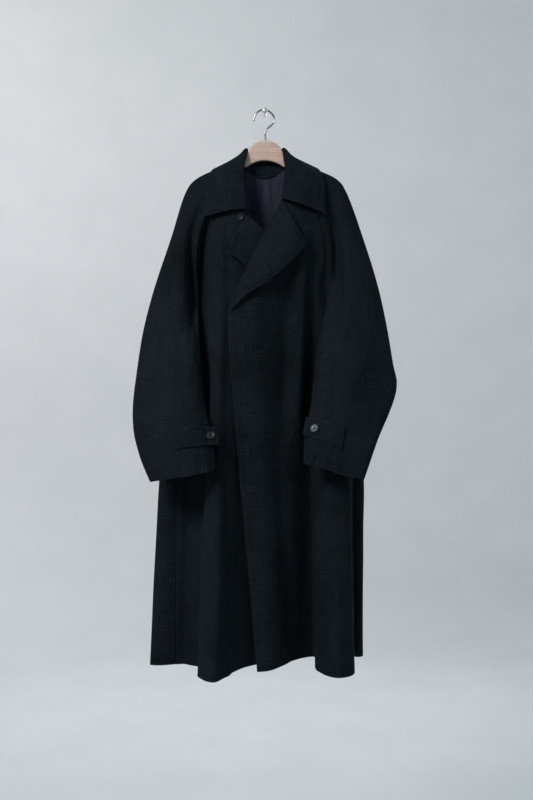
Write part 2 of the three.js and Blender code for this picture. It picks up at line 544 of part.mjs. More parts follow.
// A tab lies on the sleeve front: its points are the sleeve's, moved out, and its end runs on
// straight past the fold of the sleeve
const TAB_ROWS = 3;
const TAB_COLUMNS = 8;
function cuffTab({ sleeve, columns, overSeam, fold, pastFold }) {
  const grid = [];
  for (let i = 0; i <= TAB_ROWS; i += 1) {
    const v = i / TAB_ROWS;
    const row = [];
    for (let j = 0; j < TAB_COLUMNS; j += 1) {
      const u = j / (TAB_COLUMNS - 1);
      const level = THREE.MathUtils.lerp(
        THREE.MathUtils.lerp(overSeam[0], overSeam[1], v), THREE.MathUtils.lerp(fold[0], fold[1], v), u);
      row.push(onSheet(sleeve, level, THREE.MathUtils.lerp(columns[0], columns[1], u)));
    }
    const last = row.at(-1);
    row.push(last.clone().add(last.clone().sub(row.at(-2)).setY(0).normalize().multiplyScalar(pastFold)));
    grid.push(row);
  }
  const facing = facings(grid).map((row) => row.map((n) => (n.y > 0 ? n.negate() : n)));
  const lifted = grid.map((row, i) => row.map((p, j) => p.clone().addScaledVector(facing[i][j], CLOTH + LIFT)));
  return { grid: lifted, facing };
}

// The spot on the tab's middle line at a distance from its free end
function spotOnTab(grid, inset) {
  const midway = (j) => grid[1][j].clone().add(grid[2][j]).multiplyScalar(0.5);
  let j = TAB_COLUMNS;
  let left = inset;
  while (j > 1 && left > midway(j).distanceTo(midway(j - 1))) {
    left -= midway(j).distanceTo(midway(j - 1));
    j -= 1;
  }
  return midway(j).lerp(midway(j - 1), left / midway(j).distanceTo(midway(j - 1)));
}

// Where a button lies on a tab: flat on the two spots under its rim, or on the middle where that is higher
function buttonSeat(grid, inset, radius) {
  const near = spotOnTab(grid, inset - radius);
  const far = spotOnTab(grid, inset + radius);
  const across = grid[0][TAB_COLUMNS].clone().sub(grid[TAB_ROWS][TAB_COLUMNS]);
  const facing = far.sub(near).cross(across).normalize();
  if (facing.y > 0) facing.negate();
  const middle = spotOnTab(grid, inset);
  const rise = Math.max(0, near.clone().sub(middle).dot(facing));
  const centre = middle.addScaledVector(facing, rise + CLOTH / 2 + BUTTON_CLEARANCE);
  return { centre, facing };
}

const HOLE_RADIUS = 1.2;
const HOLE_SPREAD = 0.24;     // of the radius, from the middle to each hole's own middle
const BUTTON_EASE = 0.5;      // rounding of its rims

// A button: a round plate with four holes and eased rims, laid with its face along "facing"
function button(radius, centre, facing) {
  const shape = new THREE.Shape();
  shape.absarc(0, 0, radius - BUTTON_EASE, 0, Math.PI * 2, false);
  for (const [sx, sy] of [[1, 1], [-1, 1], [-1, -1], [1, -1]]) {
    const hole = new THREE.Path();
    const corners = [30, 330, 270, 210, 150, 90].map(THREE.MathUtils.degToRad);
    const spread = radius * HOLE_SPREAD;
    hole.setFromPoints(corners.map((a) => new THREE.Vector2(
      sx * spread + HOLE_RADIUS * Math.cos(a), sy * spread + HOLE_RADIUS * Math.sin(a))));
    shape.holes.push(hole);
  }
  const geometry = new THREE.ExtrudeGeometry(shape, {
    depth: BUTTON_THICKNESS - 2 * BUTTON_EASE,
    curveSegments: 10,
    bevelThickness: BUTTON_EASE,
    bevelSize: BUTTON_EASE,
    bevelSegments: 1,
  });
  geometry.translate(0, 0, BUTTON_EASE);
  const turn = new THREE.Quaternion().setFromUnitVectors(new THREE.Vector3(0, 0, 1), facing);
  geometry.applyQuaternion(turn);
  geometry.translate(centre.x, centre.y, centre.z);
  return geometry;
}

const TABS = [
  { side: 'right', sleeve: SLEEVE_RIGHT.front, columns: [1, 0.17], overSeam: [6.5, 7.2], fold: [6.53, 7.13],
    pastFold: 27, buttonInset: 16.5, color: HORN },
  { side: 'left', sleeve: SLEEVE_LEFT.front, columns: [1, 0.17], overSeam: [6.4, 7.1], fold: [6.35, 6.95],
    pastFold: 14, buttonInset: 28, color: PEARL },
];
for (const tab of TABS) {
  const { grid, facing } = cuffTab(tab);
  add(`cuff_tab_${tab.side}`, wall(grid, facing, CLOTH), finish(NAVY_LINEN, 0.9));
  const { centre, facing: seat } = buttonSeat(grid, tab.buttonInset, CUFF_BUTTON_RADIUS);
  add(`cuff_button_${tab.side}`, button(CUFF_BUTTON_RADIUS, centre, seat), finish(tab.color, 0.35));
}

// The neck button lies flat on the right front, just under the collar
const NECK_BUTTON_PLACE = { level: 1.05, share: 0.71, reach: 0.04 };
function neckButtonSeat({ level, share, reach }) {
  const across = onSheet(FRONT_RIGHT, level, share + reach).sub(onSheet(FRONT_RIGHT, level, share - reach));
  const down = onSheet(FRONT_RIGHT, level + reach, share).sub(onSheet(FRONT_RIGHT, level - reach, share));
  const facing = across.cross(down).normalize();
  if (facing.y > 0) facing.negate();
  const centre = onSheet(FRONT_RIGHT, level, share).addScaledVector(facing, CLOTH / 2 + BUTTON_CLEARANCE);
  return { centre, facing };
}
const neckSeat = neckButtonSeat(NECK_BUTTON_PLACE);
add('neck_button', button(NECK_BUTTON_RADIUS, neckSeat.centre, neckSeat.facing), finish(HORN, 0.35));

export default coat;
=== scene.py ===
# %% [markdown]
# # A long linen coat on a hanger
# A loose, nearly black navy coat hangs on a pale wooden hanger, and the hanger's wire hook goes
# over a small pin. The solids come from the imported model. This lesson dresses them: each panel of
# cloth is drawn again as a fine sheet through the same lines, gets its creases, its weave and its
# stitches, and takes the place of its plain solid.

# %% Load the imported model
import math
from collections import namedtuple

import bmesh
import bpy
import numpy as np
from mathutils import Matrix, Vector


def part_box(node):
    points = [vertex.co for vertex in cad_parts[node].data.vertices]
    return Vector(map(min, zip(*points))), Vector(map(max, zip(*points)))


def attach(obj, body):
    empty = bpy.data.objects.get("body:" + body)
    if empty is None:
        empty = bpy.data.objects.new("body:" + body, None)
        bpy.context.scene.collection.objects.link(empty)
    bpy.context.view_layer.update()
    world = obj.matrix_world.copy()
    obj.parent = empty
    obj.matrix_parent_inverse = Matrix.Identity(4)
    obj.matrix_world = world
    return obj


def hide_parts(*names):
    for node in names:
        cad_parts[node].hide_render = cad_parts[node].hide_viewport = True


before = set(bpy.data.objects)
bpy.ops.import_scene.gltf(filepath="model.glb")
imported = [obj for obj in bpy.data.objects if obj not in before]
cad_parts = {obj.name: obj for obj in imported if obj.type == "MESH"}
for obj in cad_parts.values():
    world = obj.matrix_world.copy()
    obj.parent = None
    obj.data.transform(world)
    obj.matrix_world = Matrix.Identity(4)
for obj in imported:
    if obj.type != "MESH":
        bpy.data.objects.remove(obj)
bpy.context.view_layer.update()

# %% [markdown]
# ## The camera
# The photograph was taken level with the waist of the coat, from about 2.7 m, with a normal lens.
# A camera made first lets every later step be judged from the same place.

# %% Place the camera
camera = bpy.data.objects.new("camera", bpy.data.cameras.new("camera"))
bpy.context.scene.collection.objects.link(camera)
camera.data.lens = 50
camera.data.sensor_width = 36
camera.location = (0.0036, -2.697, -0.691)
camera.rotation_euler = (math.pi / 2, 0, 0)
bpy.context.scene.camera = camera

# %% [markdown]
# ## Lines and sheets
# A tailor thinks in seams. Here a panel is a row of lines that run down the garment, each one
# given by a few points, and the cloth is the smooth surface through them. A level is a place down
# the garment: 0 is the neck, 4 the armpit and 8 the hem or cuff. A point is given in millimetres as
# x, depth and z, where depth is how far it lies in front of the hanger.

# %% Smooth curves through points
HANGER_PLANE = 30
CLOTH = 0.0018
LIFT = 0.0009


def place(rows):
    """Points in metres from rows of x, depth and z in millimetres"""
    rows = np.asarray(rows, float)
    return np.stack([rows[:, 0], -HANGER_PLANE - rows[:, 1], rows[:, 2]], axis=1) / 1000


def through(points, shares):
    """Where a smooth (centripetal) curve through the points is, at these shares of its way"""
    points = np.asarray(points, float)
    before, after = 2 * points[0] - points[1], 2 * points[-1] - points[-2]
    all_points = np.concatenate([[before], points, [after]])
    way = np.clip(np.asarray(shares, float), 0, 1) * (len(points) - 1)
    i = np.minimum(way.astype(int), len(points) - 2)
    w = (way - i).reshape(-1, *[1] * (points.ndim - 1))
    a, b, c, d = (all_points[i + k] for k in range(4))
    ab, bc, cd = (np.maximum(np.linalg.norm(q - p, axis=-1, keepdims=True), 1e-9) ** 0.5
                  for p, q in ((a, b), (b, c), (c, d)))
    leave = ((b - a) / ab - (c - a) / (ab + bc) + (c - b) / bc) * bc
    arrive = ((c - b) / bc - (d - b) / (bc + cd) + (d - c) / cd) * bc
    cubic = 2 * b - 2 * c + leave + arrive
    square = -3 * b + 3 * c - 2 * leave - arrive
    return b + w * (leave + w * (square + w * cubic))


def line(rows, knots=None):
    """A line down the garment: levels in, points out. knots says at which level each row lies."""
    knots = np.arange(len(rows)) if knots is None else np.array(knots)
    points = place(rows)

    def down(levels):
        levels = np.clip(levels, knots[0], knots[-1])
        i = np.clip(np.searchsorted(knots, levels, side="right") - 1, 0, len(knots) - 2)
        part = (levels - knots[i]) / (knots[i + 1] - knots[i])
        return through(points, (i + part) / (len(rows) - 1))
    return down


ARMPIT, BOTTOM = 4, 8
BODY_KNOTS = [0, 2, 3, 4, 5, 6, 7, 8]   # neck, yoke, chest, armpit, waist, cuff, knee, hem
SLEEVE_KNOTS = list(range(9))


def raglan_to_side(raglan, side):
    """Two seams end to end, which meet at the armpit"""
    return lambda levels: np.where((np.asarray(levels) <= ARMPIT)[:, None], raglan(levels), side(levels))


# %% Seams
# Seams that two pieces share: [x, depth, z] from the neck to the armpit, then to the hem or cuff
SEAM = {
  "front_right": line([[-70, 34, -148], [-112, 44, -208], [-150, 44, -275], [-163, 42, -350],
                       [-160, 18, -458]]),
  "front_left": line([[70, 34, -146], [112, 42, -206], [143, 40, -270], [154, 34, -345], [150, 16, -448]]),
  "back_right": line([[-52, -16, -141], [-95, -17, -200], [-128, -17, -272], [-150, -15, -355],
                      [-160, 18, -458]]),
  "back_left": line([[52, -16, -141], [95, -17, -200], [128, -17, -272], [144, -15, -350], [150, 16, -448]]),
  "side_right": line([[-160, 18, -458], [-186, 10, -640], [-208, 6, -830], [-213, 4.5, -1050],
                      [-213, 4.5, -1324]],
    [4, 5, 6, 7, 8]),
  "side_left": line([[150, 16, -448], [192, 10, -640], [210, 6, -830], [212, 4.5, -1050], [213, 4.5, -1306]],
    [4, 5, 6, 7, 8]),
  "underarm_right": line([[-160, 18, -458], [-153, 58, -570], [-138, 98, -712], [-118, 141, -786],
                          [-113, 150, -848]],
    [4, 5, 6, 7, 8]),
  "underarm_left": line([[150, 16, -448], [124, 68, -560], [106, 108, -705], [90, 142, -778],
                         [88, 150, -834]],
    [4, 5, 6, 7, 8]),
}


# %% Lines of the fronts
# Lines of the wearer's right front, from the side seam to its free edge.
# Rows: neck, yoke, chest, armpit, waist, cuff, knee, hem.
FRONT_RIGHT = [
  raglan_to_side(SEAM["front_right"], SEAM["side_right"]),
  line([ # groove beside the sleeve
    [-66, 39, -165], [-136, 24, -275], [-149, 12, -345], [-149, 8, -458],
    [-160, 8, -640], [-176, 12, -830], [-178, 16, -1050], [-180, 18, -1323]], BODY_KNOTS),
  line([ # foot of the deep fold
    [-62, 45, -184], [-130, 30, -275], [-143, 24, -345], [-141, 26, -458],
    [-127, 40, -640], [-132, 36, -830], [-147, 46, -1050], [-147, 56, -1321]], BODY_KNOTS),
  line([ # its head
    [-59, 50, -200], [-122, 48, -276], [-133, 52, -345], [-131, 64, -458],
    [-125, 84, -640], [-129, 88, -830], [-143, 116, -1050], [-151, 147, -1319]], BODY_KNOTS),
  line([ # its crest
    [-56, 53, -214], [-103, 60, -278], [-108, 68, -345], [-108, 78, -458],
    [-107, 101, -640], [-107, 122, -830], [-108, 158, -1050], [-115, 198, -1319]], BODY_KNOTS),
  line([ # slope towards the overlap
    [-53, 56, -230], [-80, 64, -281], [-80, 68, -345], [-78, 76, -458],
    [-84, 88, -640], [-86, 112, -830], [-86, 140, -1050], [-88, 164, -1316]], BODY_KNOTS),
  line([ # under the overlap
    [-50, 58.5, -244], [-56, 64, -286], [-48, 64, -346], [-44, 68, -458],
    [-52, 74, -640], [-53, 82, -830], [-54, 88, -1050], [-50, 92, -1312]], BODY_KNOTS),
  line([
    [-46, 60.5, -254], [-28, 64, -292], [-12, 60, -350], [14, 54, -462],
    [14, 54, -640], [10, 60, -830], [4, 62, -1050], [-6, 60, -1309]], BODY_KNOTS),
  line([ # roll line of the lapel, then the free edge
    [-38, 62, -258], [-4, 64, -294], [24, 56, -356], [70, 42, -472],
    [74, 42, -640], [68, 44, -830], [52, 44, -1050], [38, 44, -1306]], BODY_KNOTS),
]

# Lines of the wearer's left front, from its free edge to the side seam
FRONT_LEFT = [
  line([ # roll line of the lapel, then the free edge
    [39.5, 62, -224.5], [5, 75, -288], [-38, 85, -372], [-82, 93, -480],
    [-77, 98, -640], [-62, 101, -830], [-41, 104, -1050], [-18, 106, -1318]], BODY_KNOTS),
  line([ # flat stretch inside the edge
    [46, 60, -214], [29, 74, -284], [-6, 84, -366], [-46, 92, -472],
    [-46, 98, -640], [-33, 104, -830], [-12, 108, -1050], [8, 108, -1315]], BODY_KNOTS),
  line([
    [49, 57, -200], [50, 68, -280], [24, 78, -360], [0, 84, -466],
    [4, 86, -640], [12, 90, -830], [22, 95, -1050], [36, 88, -1310]], BODY_KNOTS),
  line([ # soft groove down the chest
    [54, 53, -189], [72, 64, -277], [54, 66, -354], [52, 61, -461],
    [50, 54, -640], [42, 70, -830], [54, 60, -1050], [72, 34, -1307]], BODY_KNOTS),
  line([
    [58, 49, -178], [92, 58, -274], [86, 63, -350], [84, 65, -457],
    [80, 60, -640], [78, 44, -830], [86, 28, -1050], [96, 12, -1306]], BODY_KNOTS),
  line([ # valley beside the side fold
    [61, 45, -170], [108, 52, -273], [116, 46, -348], [112, 34, -453],
    [110, 22, -640], [112, 16, -830], [116, 10, -1050], [118, 4, -1306]], BODY_KNOTS),
  line([ # head of the side fold
    [64, 42, -163], [119, 50, -272], [128, 44, -347], [124, 34, -451],
    [124, 30, -640], [122, 72, -830], [119, 98, -1050], [119, 122, -1310]], BODY_KNOTS),
  line([ # its crest
    [66, 40, -158], [127, 48, -271], [137, 42, -346], [134, 26, -450],
    [154, 44, -640], [156, 96, -830], [160, 142, -1050], [160, 194, -1310]], BODY_KNOTS),
  line([ # its outer side
    [67, 38, -154], [133, 44, -271], [143, 36, -346], [141, 20, -449],
    [184, 34, -640], [192, 84, -830], [193, 128, -1050], [196, 172, -1310]], BODY_KNOTS),
  line([ # foot of that side
    [68.5, 36, -150], [138, 42, -270], [149, 34, -345], [146, 17, -448.5],
    [192, 16, -640], [204, 22, -830], [204, 30, -1050], [206, 38, -1307]], BODY_KNOTS),
  raglan_to_side(SEAM["front_left"], SEAM["side_left"]),
]

# %% Lines of the back
# Back panel from the right side seam round the back to the left one. Its sides come forward
# round the two corners, and soft waves run down its middle.
BACK_WAVES = [ # [x at the neck, x at the armpit, x at the hem, depth at the armpit, at the hem]
  [-40, -118, -214, -17, -23],
  [-27, -78, -150, -15, -13],
  [-13, -38, -84, -18, -24],
  [0, 0, -18, -15, -13],
  [13, 38, 50, -18, -24],
  [27, 78, 116, -15, -13],
  [40, 112, 180, -17, -23],
]
NECK_BACK_Z = -157
HEM_BACK_RIGHT_Z = -1322
HEM_BACK_LEFT_Z = -1304

def back_wave(x_neck, x_armpit, x_hem, d_armpit, d_hem):
    """A line down the middle of the back"""
    z_neck = NECK_BACK_Z + (-141 - NECK_BACK_Z) * (x_neck / 52) ** 2
    z_hem = HEM_BACK_RIGHT_Z + (HEM_BACK_LEFT_Z - HEM_BACK_RIGHT_Z) * (x_hem + 262) / 484
    return line([[x_neck, -16, z_neck], [x_armpit, d_armpit, -455],
                 [(x_armpit + x_hem) / 2, (d_armpit + d_hem) / 2, -830], [x_hem, d_hem, z_hem]], [0, 4, 6, 8])


BACK = [
  raglan_to_side(SEAM["back_right"], SEAM["side_right"]),
  line([ # front of the corner
    [-50, -16, -142.5], [-126, -17, -273], [-148, -16, -356], [-161, 10, -459],
    [-209, 7, -640], [-232, 8, -830], [-244, 9, -1050], [-254, 8, -1326]], BODY_KNOTS),
  line([ # corner
    [-48, -16, -144], [-123, -17, -274], [-146, -17, -357], [-161, -2, -460],
    [-222, -5, -640], [-247, -6, -830], [-261, -7, -1050], [-275, -7, -1328]], BODY_KNOTS),
  line([ # behind the corner
    [-45, -16, -146], [-120, -17, -275], [-142, -17, -358], [-154, -14, -461],
    [-208, -17, -640], [-234, -18, -830], [-247, -19, -1050], [-260, -20, -1327]], BODY_KNOTS),
  *[back_wave(*row) for row in BACK_WAVES],
  line([
    [45, -16, -146], [120, -17, -275], [136, -17, -353], [144, -14, -451],
    [200, -17, -640], [224, -18, -830], [222, -19, -1050], [221, -20, -1305]], BODY_KNOTS),
  line([
    [48, -16, -144], [123, -17, -274], [140, -17, -352], [151, -2, -450],
    [214, -5, -640], [237, -6, -830], [237, -7, -1050], [235, -7, -1306]], BODY_KNOTS),
  line([
    [50, -16, -142.5], [126, -17, -273], [142, -16, -351], [151, 9, -449],
    [206, 8, -640], [225, 8, -830], [226, 9, -1050], [225, 8, -1306]], BODY_KNOTS),
  raglan_to_side(SEAM["back_left"], SEAM["side_left"]),
]

# %% Lines of the sleeves
# Lines round the right sleeve, from the front seam over the arm to the back seam.
# Rows: neck, shoulder, tip, chest, armpit, upper arm, elbow, wrist, cuff.
NECK_POINT_Z = -117
SLEEVE_RIGHT = {
  "front": [
    raglan_to_side(SEAM["front_right"], SEAM["underarm_right"]),
    line([ # groove inside the front seam
      [-69.5, 28, -141], [-126, 36, -202], [-162, 28, -266], [-174, 25, -345], [-171, 20, -456],
      [-168, 82, -575], [-154, 122, -715], [-136, 158, -786], [-132, 165, -854]], SLEEVE_KNOTS),
    line([ # front of the arm
      [-68, 20, -133], [-137, 32, -194], [-173, 33, -250], [-192, 46, -340], [-193, 64, -454],
      [-202, 92, -580], [-182, 134, -718], [-164, 163, -786], [-160, 168, -860]], SLEEVE_KNOTS),
    line([
      [-66, 11, -124], [-149, 21, -177], [-181, 26, -222], [-210, 38, -330], [-234, 62, -452],
      [-228, 90, -582], [-206, 132, -720], [-188, 158, -788], [-183, 162, -865]], SLEEVE_KNOTS),
    line([ # seam along the top of the arm
      [-63, 3, NECK_POINT_Z], [-166, 8, -164.5], [-187, 10, -192], [-216, 22, -312], [-254, 48, -450],
      [-245, 80, -584], [-220, 124, -722], [-204, 149, -790], [-199, 155, -867]], SLEEVE_KNOTS),
  ],
  "back": [
    line([ # outer edge of the sleeve
      [-61, -5, -118], [-167, -8, -165], [-188, -8, -194], [-222, 4, -302], [-268, 22, -448],
      [-298, 42, -594], [-308, 70, -750], [-290, 90, -818], [-264, 102, -880]], SLEEVE_KNOTS),
    line([
      [-59, -9, -123], [-150, -14, -176], [-178, -15, -224], [-204, -14, -322], [-246, -10, -452],
      [-284, 12, -592], [-292, 46, -748], [-274, 72, -814], [-252, 84, -878]], SLEEVE_KNOTS),
    line([
      [-56, -13, -131], [-128, -17, -186], [-157, -17, -246], [-182, -17, -338], [-206, -12, -456],
      [-230, 16, -586], [-230, 62, -736], [-206, 98, -802], [-194, 108, -866]], SLEEVE_KNOTS),
    raglan_to_side(SEAM["back_right"], SEAM["underarm_right"]),
  ],
}

SLEEVE_LEFT = {
  "front": [
    raglan_to_side(SEAM["front_left"], SEAM["underarm_left"]),
    line([
      [69.5, 28, -139], [126, 36, -199], [157, 28, -260], [168, 22, -340], [164, 30, -446],
      [136, 98, -564], [118, 134, -708], [104, 158, -778], [102, 166, -838]], SLEEVE_KNOTS),
    line([
      [68, 20, -131], [137, 32, -192], [171, 33, -246], [190, 46, -334], [196, 66, -446],
      [166, 113, -571], [141, 149, -711], [130, 168, -783], [124, 169, -843]], SLEEVE_KNOTS),
    line([
      [66, 11, -123], [150, 21, -176], [184, 26, -219], [210, 38, -322], [232, 62, -444],
      [204, 112, -579], [165, 152, -716], [153, 166, -789], [146, 168, -850]], SLEEVE_KNOTS),
    line([ # seam along the top of the arm
      [63, 3, NECK_POINT_Z], [171, 8, -163.5], [191, 10, -189], [220, 22, -304], [260, 48, -442],
      [238, 102, -586], [188, 150, -723], [174, 162, -797], [163, 166, -857]], SLEEVE_KNOTS),
  ],
  "back": [
    line([ # outer edge
      [61, -5, -118], [172, -8, -164], [192, -8, -191], [228, 4, -292], [273, 22, -444],
      [299, 62, -604], [306, 88, -664], [256, 122, -786], [224, 136, -874]], SLEEVE_KNOTS),
    line([
      [59, -9, -123], [152, -14, -175], [182, -15, -221], [208, -14, -316], [250, -10, -446],
      [284, 36, -602], [288, 64, -668], [242, 100, -786], [214, 116, -872]], SLEEVE_KNOTS),
    line([
      [56, -13, -131], [130, -17, -184], [160, -17, -243], [182, -17, -334], [206, -12, -448],
      [222, 50, -586], [212, 84, -700], [182, 116, -786], [168, 126, -856]], SLEEVE_KNOTS),
    raglan_to_side(SEAM["back_left"], SEAM["underarm_left"]),
  ],
}

# %% Ribs of the collar and lines of the lapels
# Collar ribs from the right front end round the back to the left front end:
# [foot of the stand], [roll line], [middle of the fall], [outer edge]
COLLAR_RIBS = [
  { "foot": [-44, 63, -246], "roll": [-43, 67.5, -244], "fall": [-90, 74, -249], "edge": [-140, 56, -259] },
  { "foot": [-54, 54, -207], "roll": [-46, 60, -197], "fall": [-92, 70, -202], "edge": [-139, 50, -212] },
  { "foot": [-66, 35.5, -149], "roll": [-49, 42, -147], "fall": [-92, 54, -152], "edge": [-138, 40, -178] },
  { "foot": [-60, 14, -120], "roll": [-43, 15, -104], "fall": [-72, 25, -117], "edge": [-131, 21, -151.5] },
  { "foot": [-57, 3, -115.5], "roll": [-42, 2, -89], "fall": [-66, 3, -108], "edge": [-122, 1, -137] },
  { "foot": [-54, -5, -117], "roll": [-41, -8, -88], "fall": [-64, -16, -110], "edge": [-115, -24.5, -149] },
  { "foot": [-46, -12, -136], "roll": [-38, -16, -88], "fall": [-66, -25, -129], "edge": [-88, -26.5, -174] },
  { "foot": [-25, -13.2, -153], "roll": [-20, -17.5, -86], "fall": [-34, -26.5, -136],
   "edge": [-46, -27, -183] },
  { "foot": [0, -13.2, -159], "roll": [0, -17.5, -86], "fall": [0, -26.5, -137], "edge": [0, -27, -185] },
  { "foot": [25, -13.2, -153], "roll": [20, -17.5, -86], "fall": [34, -26.5, -136], "edge": [46, -27, -183] },
  { "foot": [46, -12, -136], "roll": [38, -16, -88], "fall": [66, -25, -129], "edge": [89, -26.5, -174] },
  { "foot": [54, -5, -117], "roll": [41, -8, -87], "fall": [64, -16, -110], "edge": [116, -24.5, -148] },
  { "foot": [57, 3, -115.5], "roll": [42, 2, -88], "fall": [66, 3, -107], "edge": [124, 1, -135.5] },
  { "foot": [60, 14, -120], "roll": [43, 15, -103], "fall": [72, 25, -116], "edge": [134, 21, -150.5] },
  { "foot": [66, 35.5, -147], "roll": [47, 42, -147], "fall": [90, 54, -150], "edge": [140, 40, -178] },
  { "foot": [49, 57, -194], "roll": [43, 61, -190], "fall": [88, 70, -196], "edge": [141, 50, -210] },
  { "foot": [40, 64.5, -222], "roll": [39.5, 69, -221], "fall": [84, 75, -233], "edge": [141, 56, -252] },
]
COLLAR_BEND = 0.005        # how far the cloth runs level before it turns down from the roll line

# Lapels: lines from the roll line out to the free edge, rows from the neck to the break point
LAPEL_BEND = np.array([0.002, -0.005, 0])     # how far it runs on before it turns back


def bend_of(roll, side):
    return lambda levels: roll(levels) + LAPEL_BEND * [side, 1, 1]


RIGHT_ROLL, LEFT_ROLL = FRONT_RIGHT[-1], FRONT_LEFT[0]
LAPEL_RIGHT = [
  RIGHT_ROLL,
  bend_of(RIGHT_ROLL, -1),
  line([[-60, 77, -292], [-27, 76, -322], [6, 68, -376], [62, 50, -476]], [0, 2, 3, 4]),
  line([[-74, 80, -318], [-42, 79, -344], [-8, 71, -396], [60, 51, -479]], [0, 2, 3, 4]),
  line([[-89.5, 81, -347], [-58, 80, -366], [-24, 72, -402], [58, 52, -482]], [0, 2, 3, 4]),
]
LAPEL_LEFT = [
  LEFT_ROLL,
  bend_of(LEFT_ROLL, 1),
  line([[58, 84, -258], [30, 99, -318], [-14, 108, -396], [-58, 100, -441], [-80, 99, -480.3]],
       [0, 2, 3, 3.6, 4]),
  line([[77, 89, -293], [50, 105, -348], [-2, 113, -407], [-51, 105, -446], [-78.6, 100.4, -480.8]],
       [0, 2, 3, 3.6, 4]),
  line([[95.6, 84, -328], [64, 99, -367], [9, 110, -416], [-45, 106, -450], [-77.2, 100, -481.4]],
       [0, 2, 3, 3.6, 4]),
]

# %% [markdown]
# ## From lines to cloth
# A sheet is a fine grid: one row for each level and one column for each share of the width. The
# columns are spread evenly over the real cloth, with one very near each rim, so that a rim stays
# crisp. Creases are laid in afterwards: linen falls in long soft troughs and ridges that
# differ in length, depth and spacing, and nothing gives that better than a short list of them.

# %% Grids of points
RIM = 0.0014


def sheet(lines, levels, shares):
    """A grid of points: rows are levels, columns are shares of the width"""
    return np.moveaxis(through(np.stack([f(levels) for f in lines]), shares), 0, 1)


def spread(marks, way, count):
    """Evenly spaced marks along a way, with one more close to each end"""
    even = np.linspace(way[0], way[-1], count)
    even = np.concatenate([[way[0], way[0] + RIM], even[1:-1], [way[-1] - RIM, way[-1]]])
    return np.interp(even, way, marks)


def columns(lines, levels, cell):
    """Shares of the width that give cells of about this size"""
    marks = np.linspace(0, 1, 30 * (len(lines) - 1) + 1)
    steps = np.linalg.norm(np.diff(sheet(lines, levels, marks), axis=1), axis=-1).mean(axis=0)
    way = np.concatenate([[0], np.cumsum(steps)])
    return spread(marks, way, max(4, round(way[-1] / cell)))


def rows(lines, first, last, cell):
    """Levels that give cells of about this size"""
    marks = np.linspace(first, last, 161)
    steps = np.linalg.norm(np.diff(sheet(lines, marks, np.linspace(0, 1, 7)), axis=0), axis=-1).mean(axis=1)
    way = np.concatenate([[0], np.cumsum(steps)])
    return spread(marks, way, max(4, round(way[-1] / cell)))


def facing(grid, turned=False):
    """The way each point of the cloth faces, outwards"""
    along, down = np.gradient(grid, axis=1), np.gradient(grid, axis=0)
    out = np.cross(down, along) if turned else np.cross(along, down)
    return out / np.maximum(np.linalg.norm(out, axis=-1, keepdims=True), 1e-12)


def ways(grid):
    """How far each point is along its row and down its column, in metres"""
    along = np.linalg.norm(np.diff(grid, axis=1), axis=-1).cumsum(axis=1)
    down = np.linalg.norm(np.diff(grid, axis=0), axis=-1).cumsum(axis=0)
    return np.pad(along, ((0, 0), (1, 0))), np.pad(down, ((1, 0), (0, 0)))


# %% [markdown]
# ## Creases
# A crease is a soft trough or ridge along a line on the panel. It is given by its levels, its
# shares of the width at both ends, its width and its rise in millimetres, and how much it bows
# aside. A light unevenness from a few long waves goes over the whole panel, because woven linen
# never hangs perfectly smooth. Both fade out at the sewn seams, where two layers hold the cloth.

# %% Lay the creases into a sheet
Crease = namedtuple("Crease", "top bottom share_top share_bottom width rise bow")


def rise_of_crease(crease, levels, shares, along):
    """How far one crease lifts each point of the grid, in metres"""
    part = np.clip((levels - crease.top) / (crease.bottom - crease.top), 0, 1)
    centre = crease.share_top + (crease.share_bottom - crease.share_top) * part
    centre = centre + crease.bow * np.sin(np.pi * part)
    at = np.array([np.interp(c, shares, row) for c, row in zip(centre, along)])
    fade = np.sin(np.pi * part) ** 0.8
    side = (along - at[:, None]) / (crease.width / 1000)
    sharp = np.exp(-np.abs(side) ** 1.7)
    return crease.rise / 1000 * fade[:, None] * sharp


def waves(along, down, seed, size):
    """A soft unevenness of a few long waves, size in metres"""
    chance = np.random.default_rng(seed)
    total = np.zeros_like(along)
    for _ in range(9):
        across, length = chance.uniform(0.045, 0.14), chance.uniform(0.22, 0.8)
        lean, phase = chance.uniform(-0.35, 0.35), chance.uniform(0, 6.3)
        total += np.sin(2 * np.pi * (along / across + down / length + lean * along * down * 30) + phase)
    return total * size / 3


def creased(grid, levels, shares, creases, seams, seed, turned, unevenness=0.0005):
    """The grid with its creases; seams names the sides that stay where they are"""
    along, down = ways(grid)
    rise = sum((rise_of_crease(c, levels, shares, along) for c in creases), np.zeros_like(along))
    rise = rise + waves(along, down, seed, unevenness)
    for side in seams:
        near = {"first": along, "last": along[:, -1:] - along, "top": down, "bottom": down[-1:] - down}[side]
        still = np.clip(near / 0.014, 0, 1)
        rise = rise * still * still * (3 - 2 * still)
    return grid + facing(grid, turned) * rise[..., None]


# %% [markdown]
# ## The mesh of a panel
# The grid becomes quads. Its UV map holds real metres along and down the cloth, so a weave drawn
# on it has one scale everywhere and follows the panel. Two values per point go along with it: how
# far the point is from a sewn seam and how far from a free edge. The material sinks the seams and
# presses the stitched lines with them. A live Solidify then gives the cloth its wall.

# %% Make a panel
Panel = namedtuple("Panel", "grid out flip")
panels = {}


def distances(grid, sides):
    """Metres to the nearest of these sides"""
    along, down = ways(grid)
    near = {"first": along, "last": along[:, -1:] - along, "top": down, "bottom": down[-1:] - down}
    return np.min([near[s] for s in sides] + [np.full(along.shape, 0.05)], axis=0)


